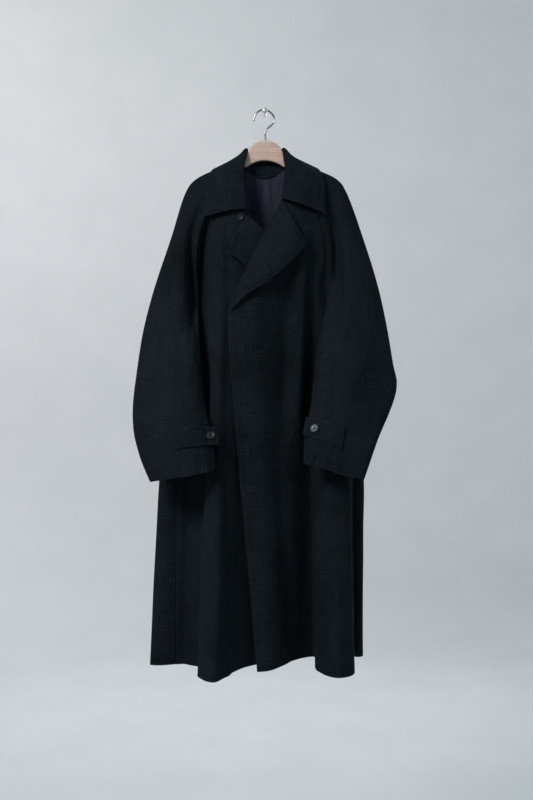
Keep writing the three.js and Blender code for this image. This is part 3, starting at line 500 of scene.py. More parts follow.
def mesh_of_grid(name, grid, flip, values):
    """A mesh of quads from a grid of points, with UVs in metres and values for each point"""
    n, m = grid.shape[:2]
    index = np.arange(n * m).reshape(n, m)
    quads = np.stack([index[:-1, :-1], index[:-1, 1:], index[1:, 1:], index[1:, :-1]], axis=-1).reshape(-1, 4)
    if flip:
        quads = quads[:, ::-1]
    mesh = bpy.data.meshes.new(name)
    mesh.from_pydata(grid.reshape(-1, 3), [], quads.tolist())
    along, down = ways(grid)
    along = along - along[:, m // 2:m // 2 + 1]
    uv = np.stack([along, down], axis=-1).reshape(-1, 2)
    mesh.uv_layers.new(name="cloth").data.foreach_set("uv", uv[quads].ravel())
    for key, value in values.items():
        mesh.attributes.new(key, "FLOAT", "POINT").data.foreach_set("value", value.ravel())
    mesh.polygons.foreach_set("use_smooth", [True] * len(quads))
    return mesh


def piece(name, mesh, node, material):
    """An object that stands for a node of the model"""
    obj = bpy.data.objects.new(name, mesh)
    bpy.context.scene.collection.objects.link(obj)
    mesh.materials.clear()
    mesh.materials.append(material)
    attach(obj, "root")
    if node:
        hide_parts(node)
    return obj


def panel(node, grid, turned, seams, edges, material, slot="linen", wall=CLOTH):
    """A cloth panel from its grid: a mesh with a wall, which replaces its node"""
    values = {"seam": distances(grid, seams), "edge": distances(grid, edges)}
    mesh = mesh_of_grid(node + "_cloth", grid, not turned, values)
    obj = piece(node + "_cloth", mesh, node, material)
    shell = obj.modifiers.new("wall", "SOLIDIFY")
    shell.thickness, shell.offset, shell.use_even_offset = wall, 0, True
    panels[node] = Panel(grid, facing(grid, turned), turned)
    area = sum(p.area for p in mesh.polygons)
    print(f"{node}: {len(mesh.polygons)} quads, {area:.3f} m2 of cloth")
    return obj


# %% [markdown]
# ## Materials
# Every colour is written as the sRGB value that the eye knows and turned linear by one function.
# One helper adds a node with its settings and what feeds its inputs.

# %% Helpers for materials
MM = 0.001


def linear(colour):
    """An sRGB hex colour as linear red, green, blue and alpha"""
    parts = [int(colour[i:i + 2], 16) / 255 for i in (0, 2, 4)]
    return [c / 12.92 if c <= 0.04045 else ((c + 0.055) / 1.055) ** 2.4 for c in parts] + [1]


def add(tree, kind, settings=None, inputs=None, stops=()):
    """A new node: its settings, what each input gets (a value, a socket or a node) and its colour stops"""
    node = tree.nodes.new(kind)
    for key, value in (settings or {}).items():
        setattr(node, key, value)
    for key, value in (inputs or {}).items():
        if isinstance(value, bpy.types.Node):
            value = value.outputs[0]
        if isinstance(value, bpy.types.NodeSocket):
            tree.links.new(value, node.inputs[key])
        else:
            node.inputs[key].default_value = value
    for i, (position, colour) in enumerate(stops):
        stop = node.color_ramp.elements[i] if i < 2 else node.color_ramp.elements.new(position)
        stop.position, stop.color = position, colour
    return node


def new_material(name):
    material = bpy.data.materials.new(name)
    material.use_nodes = True
    material.node_tree.nodes.clear()
    return material, material.node_tree


def finish_material(tree, **inputs):
    """The shader of a material; names with spaces are written with _"""
    shader = add(tree, "ShaderNodeBsdfPrincipled", {}, {k.replace("_", " "): v for k, v in inputs.items()})
    add(tree, "ShaderNodeOutputMaterial", {}, {"Surface": shader})


# %% [markdown]
# ## Linen
# The coat is plain-woven flax, dyed a navy that is almost black. Flax yarn is uneven: thick
# stretches, called slubs, run for two to ten centimetres both ways and catch the light, so the
# eye sees a hatching. The yarn is about 0.7 mm thick. That is finer than the render can show
# from here, so the threads are drawn 1.6 mm apart and the slubs 3 mm. The cloth is matt, with
# hardly any sheen. Seams sink by the height map, and edges get two pressed lines where the rows
# of stitches run, 7 and 14 mm in. These sunk lines are also painted a little darker, as painted
# shade in the grooves, and a thin rim along each free edge is painted lighter, as a painted highlight.

# %% Linen
# These profiles give the height of the sunk lines and also darken the colour there: painted shade in the
# grooves.
SEAM_SINK_AND_SHADE = [(0, 0.6), (0.1, 0.85), (0.22, 1.0), (0.36, 0.85), (0.5, 1.0)]       # height over 16 mm
EDGE_SINK_AND_SHADE = [(0, 0.4), (0.09, 1.0), (0.3, 1.0), (0.38, 0.4), (0.46, 1.0), (0.68, 1.0), (0.76, 0.4),
             (0.84, 1.0)]
SLUBS = [ # [width, length, weight], lengths in mm
  [1.6, 30, 0.32],
  [2.7, 50, 0.34],
]


def make_linen(name, deep, lit):
    material, tree = new_material(name)
    uv = add(tree, "ShaderNodeUVMap", {"uv_map": "cloth"})
    threads = None
    for width, length, weight in SLUBS:
        for scale in ((1 / (width * MM), 1 / (length * MM), 1), (1 / (length * MM), 1 / (width * MM), 1)):
            turned = add(tree, "ShaderNodeMapping", {}, {"Vector": uv, "Scale": scale})
            noise = add(tree, "ShaderNodeTexNoise", {"noise_dimensions": "2D"},
                        {"Vector": turned, "Scale": 1, "Detail": 2, "Roughness": 0.5})
            part = add(tree, "ShaderNodeMath", {"operation": "MULTIPLY_ADD"},
                       {0: noise, 1: weight, 2: -0.5 * weight})
            threads = part if threads is None else add(tree, "ShaderNodeMath", {"operation": "ADD"},
                                                       {0: threads, 1: part})
    spot = add(tree, "ShaderNodeTexCoord").outputs["Object"]
    cloud = add(tree, "ShaderNodeTexNoise", {}, {"Vector": spot, "Scale": 6, "Detail": 3})
    crumple = add(tree, "ShaderNodeTexNoise", {}, {"Vector": spot, "Scale": 24, "Detail": 2})
    shade = add(tree, "ShaderNodeMath", {"operation": "MULTIPLY_ADD"}, {0: cloud, 1: 0.5, 2: threads})
    tint = add(tree, "ShaderNodeValToRGB", {}, {"Fac": shade}, [(0.0, linear(deep)), (0.52, linear(lit))])
    height = add(tree, "ShaderNodeMath", {"operation": "MULTIPLY_ADD"}, {0: crumple, 1: 2.4, 2: threads})
    # Painted highlight: within about 1.6 mm of a free edge the colour is painted up to 2.4 times lighter.
    rim = add(tree, "ShaderNodeAttribute", {"attribute_name": "edge"}).outputs["Fac"]
    rim = add(tree, "ShaderNodeMath", {"operation": "DIVIDE"}, {0: rim, 1: 10 * MM})
    edge_highlight = add(tree, "ShaderNodeValToRGB", {}, {"Fac": rim},
               [(0.0, (2.4, 2.3, 2.2, 1)), (0.16, (1, 1, 1, 1))])
    tint = add(tree, "ShaderNodeMix", {"data_type": "RGBA", "blend_type": "MULTIPLY"},
               {"Factor": 1.0, 6: tint, 7: edge_highlight}).outputs[2]
    for mark, width, profile in (("seam", 16 * MM, SEAM_SINK_AND_SHADE), ("edge", 19 * MM, EDGE_SINK_AND_SHADE)):
        distance = add(tree, "ShaderNodeAttribute", {"attribute_name": mark}).outputs["Fac"]
        share = add(tree, "ShaderNodeMath", {"operation": "DIVIDE"}, {0: distance, 1: width})
        sink = add(tree, "ShaderNodeValToRGB", {}, {"Fac": share}, [(at, (v, v, v, 1)) for at, v in profile])
        height = add(tree, "ShaderNodeMath", {"operation": "ADD"}, {0: height, 1: sink})
        # The colour is darkened along the sunk lines as well: painted shade in the seam and stitch grooves.
        tint = add(tree, "ShaderNodeMix", {"data_type": "RGBA", "blend_type": "MULTIPLY"},
                   {"Factor": 0.2, 6: tint, 7: sink}).outputs[2]
    bump = add(tree, "ShaderNodeBump", {}, {"Height": height, "Distance": MM, "Strength": 0.8})
    finish_material(tree, Base_Color=tint, Roughness=0.9, Specular_IOR_Level=0.05, Normal=bump,
                    Sheen_Weight=0.015, Sheen_Roughness=0.5, Sheen_Tint=linear("8a93a8"))
    return material


LINEN = make_linen("navy linen", "04090c", "1b2329")
print("linen made")

# %% [markdown]
# ## Lining
# The lining is a thin cupro satin, smooth and a shade greyer than the linen. Its fine twill can
# only be guessed at from here, so it is drawn 1.2 mm apart and very faint.

# %% Lining
def make_lining():
    material, tree = new_material("cupro lining")
    uv = add(tree, "ShaderNodeUVMap", {"uv_map": "cloth"})
    turned = add(tree, "ShaderNodeMapping", {},
                 {"Vector": uv, "Rotation": (0, 0, math.radians(45)), "Scale": (830, 16, 1)})
    twill = add(tree, "ShaderNodeTexNoise", {"noise_dimensions": "2D"},
                {"Vector": turned, "Scale": 1, "Detail": 1})
    broad = add(tree, "ShaderNodeMapping", {}, {"Vector": uv, "Scale": (33, 5, 1)})
    cloud = add(tree, "ShaderNodeTexNoise", {"noise_dimensions": "2D"},
                {"Vector": broad, "Scale": 1, "Detail": 2})
    shade = add(tree, "ShaderNodeMix", {}, {"Factor": 0.6, 2: twill, 3: cloud})
    tint = add(tree, "ShaderNodeValToRGB", {}, {"Fac": shade},
               [(0.3, linear("171c28")), (0.7, linear("262b3a"))])
    bump = add(tree, "ShaderNodeBump", {}, {"Height": twill, "Distance": 0.15 * MM, "Strength": 0.6})
    finish_material(tree, Base_Color=tint, Roughness=0.7, Specular_IOR_Level=0.15, Normal=bump,
                    Sheen_Weight=0.03, Sheen_Roughness=0.4, Sheen_Tint=linear("a8afc0"))
    return material


LINING_CLOTH = make_lining()

# %% [markdown]
# ## Wood, steel, horn and thread
# The hanger is planed beech with a thin satin lacquer: pale, slightly pink, with short dark flecks
# along the grain. Hook and pin are polished steel. Two buttons are dark brown horn with lighter
# veins, and one is a grey-blue shell colour, painted paler as a painted reflection of the light on
# it. The thread is a polyester in the colour of the cloth.

# %% Beech
def make_beech():
    material, tree = new_material("lacquered beech")
    spot = add(tree, "ShaderNodeTexCoord").outputs["Object"]
    grain_at = add(tree, "ShaderNodeMapping", {}, {"Vector": spot, "Scale": (7, 60, 160)})
    grain = add(tree, "ShaderNodeTexNoise", {},
                {"Vector": grain_at, "Scale": 1, "Detail": 4, "Distortion": 0.4})
    fleck_at = add(tree, "ShaderNodeMapping", {}, {"Vector": spot, "Scale": (280, 900, 1500)})
    fleck = add(tree, "ShaderNodeTexNoise", {}, {"Vector": fleck_at, "Scale": 1, "Detail": 1})
    base = add(tree, "ShaderNodeValToRGB", {}, {"Fac": grain},
               [(0.3, linear("ab9585")), (0.7, linear("bfab9d"))])
    dark = add(tree, "ShaderNodeValToRGB", {}, {"Fac": fleck},
               [(0.6, (1, 1, 1, 1)), (0.72, linear("b08a6c"))])
    tint = add(tree, "ShaderNodeMix", {"data_type": "RGBA", "blend_type": "MULTIPLY"},
               {"Factor": 0.6, 6: base, 7: dark}).outputs[2]
    bump = add(tree, "ShaderNodeBump", {}, {"Height": grain, "Distance": 0.2 * MM, "Strength": 0.4})
    finish_material(tree, Base_Color=tint, Roughness=0.42, Normal=bump, Coat_Weight=0.2, Coat_Roughness=0.3)
    return material


BEECH = make_beech()


# %% Steel
def make_steel(name, tint, roughness):
    """Polished steel wire: bright, with fine drawing marks"""
    material, tree = new_material(name)
    spot = add(tree, "ShaderNodeTexCoord").outputs["Object"]
    marks = add(tree, "ShaderNodeTexNoise", {}, {"Vector": spot, "Scale": 900, "Detail": 2})
    rough = add(tree, "ShaderNodeMapRange", {},
                {"Value": marks, "To Min": roughness * 0.7, "To Max": roughness * 1.3})
    bump = add(tree, "ShaderNodeBump", {}, {"Height": marks, "Distance": 0.03 * MM, "Strength": 0.4})
    finish_material(tree, Base_Color=linear(tint), Metallic=1.0, Roughness=rough, Normal=bump)
    return material


STEEL_WIRE = make_steel("polished steel wire", "8c9095", 0.24)
STEEL_PIN = make_steel("polished steel pin", "d6d8da", 0.3)


# %% Horn, and shell with a painted reflection
def make_horn(name, deep, light, roughness):
    """Horn: veins and clouds of two tones under a polish"""
    material, tree = new_material(name)
    spot = add(tree, "ShaderNodeTexCoord").outputs["Object"]
    stretched = add(tree, "ShaderNodeMapping", {}, {"Vector": spot, "Scale": (90, 60, 320)})
    vein = add(tree, "ShaderNodeTexNoise", {},
               {"Vector": stretched, "Scale": 1, "Detail": 4, "Distortion": 1.2})
    tint = add(tree, "ShaderNodeValToRGB", {}, {"Fac": vein}, [(0.34, linear(deep)), (0.68, linear(light))])
    bump = add(tree, "ShaderNodeBump", {}, {"Height": vein, "Distance": 0.06 * MM, "Strength": 0.5})
    finish_material(tree, Base_Color=tint, Roughness=roughness, Normal=bump, Specular_IOR_Level=0.3,
                    Coat_Weight=0.15, Coat_Roughness=0.15)
    return material


HORN = make_horn("brown horn", "050403", "120c09", 0.5)
# The shell button's pale grey-blue is partly its own colour and partly a painted reflection of the light.
SHELL_WITH_PAINTED_REFLECTION = make_horn("grey shell with painted reflection", "363e49", "6a7380", 0.35)


# %% Thread
def make_thread(name, deep, light):
    """Twisted polyester thread: a slight gloss and fine turns"""
    material, tree = new_material(name)
    spot = add(tree, "ShaderNodeTexCoord").outputs["Object"]
    turns = add(tree, "ShaderNodeTexNoise", {}, {"Vector": spot, "Scale": 2500, "Detail": 1})
    colour = add(tree, "ShaderNodeValToRGB", {}, {"Fac": turns}, [(0.3, linear(deep)), (0.7, linear(light))])
    bump = add(tree, "ShaderNodeBump", {}, {"Height": turns, "Distance": 0.1 * MM, "Strength": 0.5})
    finish_material(tree, Base_Color=colour, Roughness=0.6, Specular_IOR_Level=0.2, Normal=bump)
    return material


THREAD = make_thread("navy sewing thread", "0a0d11", "1a1e24")
print("materials:", len(bpy.data.materials))

# %% [markdown]
# ## The body of the coat
# Two fronts and one back. The left front lies over the right one. The deep folds of the big hem
# are already in the lines above, so the lists here hold only the smaller creases.

# %% Body panels
BODY_CELL = 0.005
CREASES = {
    # top, bottom, share_top, share_bottom, width, rise, bow
    "front_right": [
        Crease(1.2, 5.2, 0.50, 0.42, 13, -2.6, 0.01),
        Crease(1.5, 5.6, 0.60, 0.61, 12, -5.0, 0.00),
        Crease(3.4, 7.6, 0.30, 0.36, 16, 2.2, -0.01),
        Crease(4.4, 8.4, 0.56, 0.60, 20, -3.0, 0.01),
        Crease(2.0, 6.4, 0.66, 0.70, 15, 2.0, 0.00),
        Crease(5.2, 8.6, 0.70, 0.74, 24, -3.2, -0.01),
        Crease(5.0, 8.8, 0.135, 0.045, 13, -9.0, 0.00),
        Crease(5.4, 8.8, 0.62, 0.70, 14, -5.0, 0.00),
    ],
    "front_left": [
        Crease(1.5, 6.6, 0.31, 0.29, 17, -5.0, 0.00),
        Crease(1.9, 6.3, 0.41, 0.39, 16, 4.0, 0.01),
        Crease(2.6, 8.2, 0.17, 0.15, 20, 2.6, 0.01),
        Crease(2.2, 6.6, 0.24, 0.20, 14, -1.6, -0.01),
        Crease(3.6, 7.8, 0.14, 0.12, 15, 1.7, 0.01),
        Crease(4.4, 8.5, 0.33, 0.37, 22, 2.6, 0.00),
        Crease(5.4, 8.8, 0.24, 0.27, 19, -2.8, 0.01),
        Crease(2.4, 5.8, 0.48, 0.46, 12, -3.4, -0.01),
        Crease(4.6, 8.4, 0.47, 0.50, 15, 2.4, 0.00),
        Crease(5.0, 8.6, 0.73, 0.76, 20, -2.8, 0.01),
        Crease(4.9, 7.2, 0.86, 0.88, 12, 2.0, 0.00),
    ],
    "back": [
        Crease(0.8, 6.0, 0.30, 0.27, 20, 3.0, 0.01),
        Crease(1.6, 7.0, 0.41, 0.38, 16, -2.6, -0.01),
        Crease(0.6, 5.2, 0.53, 0.54, 24, 3.0, 0.01),
        Crease(2.8, 8.6, 0.48, 0.50, 18, -3.2, 0.00),
        Crease(1.4, 6.6, 0.64, 0.66, 17, -2.4, 0.01),
        Crease(3.6, 8.8, 0.60, 0.63, 26, 3.6, -0.01),
        Crease(2.2, 7.4, 0.73, 0.76, 15, 2.4, 0.01),
        Crease(4.2, 8.8, 0.22, 0.19, 22, 3.2, 0.00),
        Crease(4.8, 8.6, 0.33, 0.32, 18, -3.0, 0.01),
        Crease(4.4, 8.2, 0.80, 0.83, 17, -2.4, 0.00),
    ],
}


def make_panel(node, lines, last, cell, seams, edges, creases, seed, turned=False, first=0,
               unevenness=0.0005, **look):
    levels = rows(lines, first, last, cell)
    shares = columns(lines, levels[::8], cell)
    grid = sheet(lines, levels, shares)
    grid = creased(grid, levels, shares, creases, seams, seed, turned, unevenness)
    return panel(node, grid, turned, seams, edges, **look)


cloth = {}
cloth["back"] = make_panel("back", BACK, BOTTOM, BODY_CELL + 0.001, ["first", "last", "top"], ["bottom"],
                           CREASES["back"], 11, material=LINEN)
cloth["front_right"] = make_panel("front_right", FRONT_RIGHT, BOTTOM, BODY_CELL, ["first", "top"],
                                  ["last", "bottom"],
                                  CREASES["front_right"], 12, True, material=LINEN)
cloth["front_left"] = make_panel("front_left", FRONT_LEFT, BOTTOM, BODY_CELL, ["last", "top"],
                                 ["first", "bottom"],
                                 CREASES["front_left"], 13, True, material=LINEN)

# %% [markdown]
# ## Raglan sleeves
# Each sleeve is cut in two halves, sewn along the top of the arm and under it. The seams run up to
# the neck, so there is no seam round the shoulder. The sleeve hangs a little forward, and where it
# bends at the elbow the cloth breaks into slanting creases on the inner side.

# %% Sleeve panels
SLEEVE_CELL = 0.0036
CREASES.update({
    "sleeve_right_front": [
        Crease(2.2, 4.9, 0.36, 0.12, 8, -3.0, -0.04),
        Crease(2.6, 6.2, 0.42, 0.30, 9, 2.4, 0.02),
        Crease(1.8, 5.6, 0.66, 0.60, 12, 1.9, -0.02),
        Crease(4.4, 6.8, 0.18, 0.52, 9, 2.0, 0.03),
        Crease(4.9, 7.0, 0.10, 0.72, 10, -2.0, 0.02),
        Crease(5.6, 7.6, 0.62, 0.80, 9, 1.6, 0.00),
        Crease(7.1, 9.4, 0.38, 0.33, 6, -4.6, 0.00),
        Crease(7.2, 9.2, 0.68, 0.60, 8, 2.6, 0.00),
    ],
    "sleeve_right_back": [
        Crease(1.2, 5.2, 0.30, 0.28, 13, 2.0, 0.01),
        Crease(2.4, 6.4, 0.62, 0.56, 15, -2.6, 0.01),
        Crease(4.2, 6.9, 0.86, 0.58, 11, 2.4, 0.02),
        Crease(5.2, 7.6, 0.34, 0.46, 12, -2.2, 0.01),
        Crease(6.0, 8.2, 0.20, 0.24, 14, 2.0, 0.00),
    ],
    "sleeve_left_front": [
        Crease(1.4, 6.6, 0.30, 0.78, 12, -5.5, -0.18),
        Crease(2.4, 6.4, 0.07, 0.42, 9, 3.0, -0.08),
        Crease(1.6, 6.4, 0.60, 0.44, 12, 2.2, -0.02),
        Crease(4.3, 6.6, 0.14, 0.50, 9, 1.8, 0.03),
        Crease(5.0, 7.0, 0.20, 0.84, 10, -2.2, 0.02),
        Crease(5.9, 7.7, 0.60, 0.72, 9, 1.6, 0.00),
        Crease(7.1, 9.4, 0.40, 0.36, 6, -5.0, 0.00),
        Crease(7.3, 9.2, 0.66, 0.62, 8, 2.4, 0.00),
    ],
    "sleeve_left_back": [
        Crease(1.0, 5.0, 0.28, 0.30, 13, 2.2, 0.01),
        Crease(2.6, 6.2, 0.58, 0.60, 15, -2.4, 0.01),
        Crease(4.4, 7.0, 0.84, 0.54, 11, 2.4, 0.02),
        Crease(5.4, 7.5, 0.26, 0.50, 12, -2.4, 0.01),
        Crease(5.8, 8.2, 0.16, 0.20, 13, 2.0, 0.00),
    ],
})
for side, lines, turned, seed in (("right", SLEEVE_RIGHT, False, 21), ("left", SLEEVE_LEFT, True, 31)):
    halves = {"front": lines["front"], "back": [lines["front"][-1], *lines["back"]]}
    for half, of_half in halves.items():
        node = f"sleeve_{side}_{half}"
        cloth[node] = make_panel(node, of_half, BOTTOM, SLEEVE_CELL, ["first", "last", "top"], ["bottom"],
                                 CREASES[node], seed, turned, unevenness=0.0004, material=LINEN)
        seed += 1

# %% [markdown]
# ## Collar and lapels
# The collar is a folded band: it rises from the neck seam as the stand, rolls over and falls on
# the shoulders. Its ribs run from the neck to the outer edge. The lapels are the top corners of the
# fronts, turned back along the roll line, which each one shares with its front.

# %% Collar and lapels
def ribs(keys):
    """The rails of the collar as lines: share of the way round in, points out"""
    def rail(key):
        if key != "bend":
            return place([rib[key] for rib in COLLAR_RIBS])
        foot, roll, fall = (place([rib[k] for rib in COLLAR_RIBS]) for k in ("foot", "roll", "fall"))
        out = (fall - roll) * [1, 1, 0]
        out *= COLLAR_BEND / np.linalg.norm(out, axis=1, keepdims=True)
        up = (roll - foot) * 0.3 * COLLAR_BEND / np.linalg.norm(roll - foot, axis=1, keepdims=True)
        return roll + out + up
    return [lambda shares, points=rail(key): through(points, shares) for key in keys]


def waved(offset, size):
    """Creases for a small part: a few short soft ones"""
    return [Crease(a, a + length, s, s + lean, width, size * rise, 0.0)
            for a, length, s, lean, width, rise in offset]


COLLAR_CREASES = waved([(0.03, 0.16, 0.55, 0.1, 12, 1.0), (0.12, 0.12, 0.75, -0.1, 10, -0.9),
                        (0.42, 0.14, 0.60, 0.0, 16, 0.8), (0.78, 0.14, 0.70, 0.1, 12, -0.9),
                        (0.84, 0.15, 0.45, -0.1, 12, 1.0)], 0.8)
cloth["collar"] = make_panel("collar", ribs(["roll", "bend", "fall", "edge"]), 1, 0.005, ["first"],
                             ["top", "bottom", "last"], COLLAR_CREASES, 41, material=LINEN, unevenness=0.0003)
cloth["collar_stand"] = make_panel("collar_stand", ribs(["foot", "roll"]), 1, 0.005, ["first", "last"],
                                   ["top", "bottom"], [], 42, material=LINEN, unevenness=0.0001)
LAPEL_CREASES = waved([(0.6, 2.0, 0.62, 0.05, 12, 1.0), (1.6, 2.2, 0.45, 0.1, 14, -1.0),
                       (2.4, 1.4, 0.75, 0.0, 9, 0.9)], 0.9)
cloth["lapel_right"] = make_panel("lapel_right", LAPEL_RIGHT, 4, 0.004, ["first"], ["top", "last"],
                                  LAPEL_CREASES, 43, True, material=LINEN, unevenness=0.0003)
cloth["lapel_left"] = make_panel("lapel_left", LAPEL_LEFT, 4, 0.004, ["first"], ["top", "last", "bottom"],
                                 LAPEL_CREASES, 44, material=LINEN, unevenness=0.0003)

# %% [markdown]
# ## Back lining
# The lining hangs loose from the neck seam, a little wider than the back, so it falls in soft
# vertical folds that grow downwards. A rule gives them: a few waves of different widths.

# %% Lining panel
LINING_WALL = 0.001
LINING_RISE = [-62, -31, 0, 31, 62]
LINING_BACK = [line([[x * 0.75, -11.4 + 0.0004 * x * x, -159.8 + 0.0061 * x * x], [x * 1.3, -11, -260],
                     [x * 1.6, -10, -380]], [0, 4, 8])
               for x in LINING_RISE]
LINING_CREASES = [
    Crease(-1.5, 9.0, 0.24, 0.20, 6, 1.2, 0.00),
    Crease(-1.0, 9.5, 0.37, 0.34, 4, -1.0, 0.01),
    Crease(-2.0, 9.0, 0.46, 0.44, 5, 1.3, 0.00),
    Crease(-1.0, 9.5, 0.56, 0.59, 3.5, -1.1, 0.01),
    Crease(-1.5, 9.0, 0.65, 0.70, 5, 1.3, -0.01),
    Crease(-0.5, 9.5, 0.77, 0.82, 4, -0.9, 0.00),
]
cloth["lining_back"] = make_panel("lining_back", LINING_BACK, BOTTOM, 0.0035, ["top"], ["bottom"],
                                  LINING_CREASES, 45,
                                  material=LINING_CLOTH, slot="lining", wall=LINING_WALL, unevenness=0.0002)

# %% [markdown]
# ## Cuff tabs
# A strap is sewn into the seam on top of each sleeve and buttons towards the inner end of the
# cuff. It lies on the sleeve, so its points are the sleeve's own, moved out by the thickness of
# the cloth. Past the fold of the sleeve its end runs on straight.

# %% Straps on the sleeves
Tab = namedtuple("Tab", "side sleeve over_seam fold past_fold inset button")
TAB_SHARES = (1, 0.17)
TABS = [Tab("right", SLEEVE_RIGHT["front"], (6.5, 7.2), (6.53, 7.13), 0.027, 0.0165, HORN),
        Tab("left", SLEEVE_LEFT["front"], (6.4, 7.1), (6.35, 6.95), 0.014, 0.028, SHELL_WITH_PAINTED_REFLECTION)]


def tab_grid(tab, across=9, along=34):
    """Points of a strap, rows across it and columns along it, and the way it faces"""
    v = spread(np.linspace(0, 1, 12), np.linspace(0, 0.024, 12), across)
    u = np.linspace(0, 1, along)
    grid = []
    for part in v:
        levels = (tab.over_seam[0] + (tab.over_seam[1] - tab.over_seam[0]) * part) * (1 - u) \
            + (tab.fold[0] + (tab.fold[1] - tab.fold[0]) * part) * u
        shares = TAB_SHARES[0] + (TAB_SHARES[1] - TAB_SHARES[0]) * u
        lines = np.stack([f(levels) for f in tab.sleeve])
        row = np.array([through(lines[:, i], [share])[0] for i, share in enumerate(shares)])
        on = (row[-1] - row[-4]) * [1, 0, 1]
        on /= np.linalg.norm(on)
        steps = np.linspace(0, tab.past_fold, 7)[1:]
        grid.append(np.concatenate([row, row[-1] + on * steps[:, None]]))
    grid = np.array(grid)
    out = facing(grid)
    out *= -np.sign(out[..., 1:2])
    return grid + out * (CLOTH + LIFT), out


def on_tab(grid, inset):
    """The spot on a strap's middle line at this distance from its free end"""
    middle = grid[grid.shape[0] // 2][::-1]
    way = np.concatenate([[0], np.linalg.norm(np.diff(middle, axis=0), axis=1).cumsum()])
    return np.array([np.interp(inset, way, middle[:, k]) for k in range(3)])


tab_grids = {}
for tab in TABS:
    grid, out = tab_grid(tab)
    tab_grids[tab.side] = grid
    turned = bool((facing(grid)[..., 1] > 0).mean() > 0.5)
    node = f"cuff_tab_{tab.side}"
    cloth[node] = panel(node, grid, turned, ["first"], ["top", "bottom", "last"], LINEN)

# %% [markdown]
# ## Buttons
# A horn button is turned on a lathe: a flat back, a rounded rim that stands proud and a dished
# middle with four drilled holes. It is drawn here as a turned profile, and a Boolean drills the
# holes. A cross of thread holds it.

# %% Turned buttons
BUTTON_CLEARANCE = 0.0008
HOLE_RADIUS, HOLE_SPREAD = 0.0011, 0.24
BUTTON_PROFILE = [(0, 0), (0.86, 0), (0.96, 0.25), (1.0, 0.55), (0.97, 0.85), (0.88, 1.0), (0.78, 0.97),
                  (0.66, 0.74), (0.5, 0.64), (0, 0.6)]    # share of the radius, share of the thickness


def revolve(name, profile, sides=48):
    """A closed solid turned about Z, from radius and height pairs that start and end on the axis"""
    mesh = bmesh.new()
    rings = []
    for radius, height in profile:
        count = sides if radius > 0 else 1
        rings.append([mesh.verts.new((radius * math.cos(a), radius * math.sin(a), height))
                      for a in (2 * math.pi * k / count for k in range(count))])
    for low, high in zip(rings, rings[1:]):
        for k in range(sides):
            corners = [low[k % len(low)], low[(k + 1) % len(low)], high[(k + 1) % len(high)],
                       high[k % len(high)]]
            mesh.faces.new(list(dict.fromkeys(corners)))
    bmesh.ops.recalc_face_normals(mesh, faces=mesh.faces)
    data = bpy.data.meshes.new(name)
    mesh.to_mesh(data)
    mesh.free()
    return data


def to_seat(centre, out):
    """A turn and move from the origin, facing +Z, to a seat"""
    return Matrix.Translation(Vector(centre)) @ Vector((0, 0,
            1)).rotation_difference(Vector(out)).to_matrix().to_4x4()


def link(name, mesh):
    obj = bpy.data.objects.new(name, mesh)
    bpy.context.scene.collection.objects.link(obj)
    return obj


def plain_mesh(obj):
    """What an object's modifiers make of it, as a mesh of its own"""
    return bpy.data.meshes.new_from_object(obj.evaluated_get(bpy.context.evaluated_depsgraph_get()))


def tube(points, radius, sides=10):
    """A round tube along points, with closed ends: vertices and faces"""
    points = np.asarray(points, float)
    tangent = np.gradient(points, axis=0)
    tangent /= np.linalg.norm(tangent, axis=1, keepdims=True)
    side = np.cross(tangent[0], [0.31, 0.2, 0.93])
    verts, faces = [], []
    angles = np.linspace(0, 2 * np.pi, sides, endpoint=False)
    for p, t in zip(points, tangent):
        side = side - t * side.dot(t)
        side /= np.linalg.norm(side)
        up = np.cross(t, side)
        verts += [p + radius * (math.cos(a) * side + math.sin(a) * up) for a in angles]
    for i in range(len(points) - 1):
        for k in range(sides):
            a, b = i * sides + k, i * sides + (k + 1) % sides
            faces.append((a, b, b + sides, a + sides))
    faces += [tuple(range(sides))[::-1], tuple(range(len(verts) - sides, len(verts)))]
    return verts, faces


def turned_button(name, radius, thickness):
    blank = link(name, revolve(name, [(r * radius, h * thickness) for r, h in BUTTON_PROFILE]))
    drill = bmesh.new()
    for x, y in ((1, 1), (-1, 1), (-1, -1), (1, -1)):
        bmesh.ops.create_cone(drill, cap_ends=True, segments=16, radius1=HOLE_RADIUS, radius2=HOLE_RADIUS,
                              depth=0.012,
                              matrix=Matrix.Translation((x * radius * HOLE_SPREAD, y * radius * HOLE_SPREAD,
                                                         0.002)))
    drills = link(name + "_drill", bpy.data.meshes.new("drill"))
    drill.to_mesh(drills.data)
    drill.free()
    cut = blank.modifiers.new("holes", "BOOLEAN")
    cut.operation, cut.object, cut.solver = "DIFFERENCE", drills, "EXACT"
    mesh = plain_mesh(blank)
    for obj in (blank, drills):
        bpy.data.objects.remove(obj)
    mesh.polygons.foreach_set("use_smooth", [True] * len(mesh.polygons))
    mesh.set_sharp_from_angle(angle=math.radians(40))
    return mesh


def thread_cross(radius, thickness):
    """Two strands over the middle of a button, from hole to hole"""
    hole, verts, faces = radius * HOLE_SPREAD, [], []
    for turn in (1, -1):
        for aside in (-0.0003, 0.0003):
            t = np.linspace(-1, 1, 9)
            top = thickness * 0.62 + 0.0007 * (1 - t ** 4) - 0.0012 * (np.abs(t) > 0.9)
            points = np.stack([t * hole + aside, t * hole * turn - aside * turn, top + 0.0003 * (turn + 1)],
                              axis=1)
            v, f = tube(points, 0.00028, 6)
            faces += [tuple(k + len(verts) for k in face) for face in f]
            verts += v
    mesh = bpy.data.meshes.new("thread_cross")
    mesh.from_pydata(verts, [], faces)
    mesh.polygons.foreach_set("use_smooth", [True] * len(faces))
    return mesh


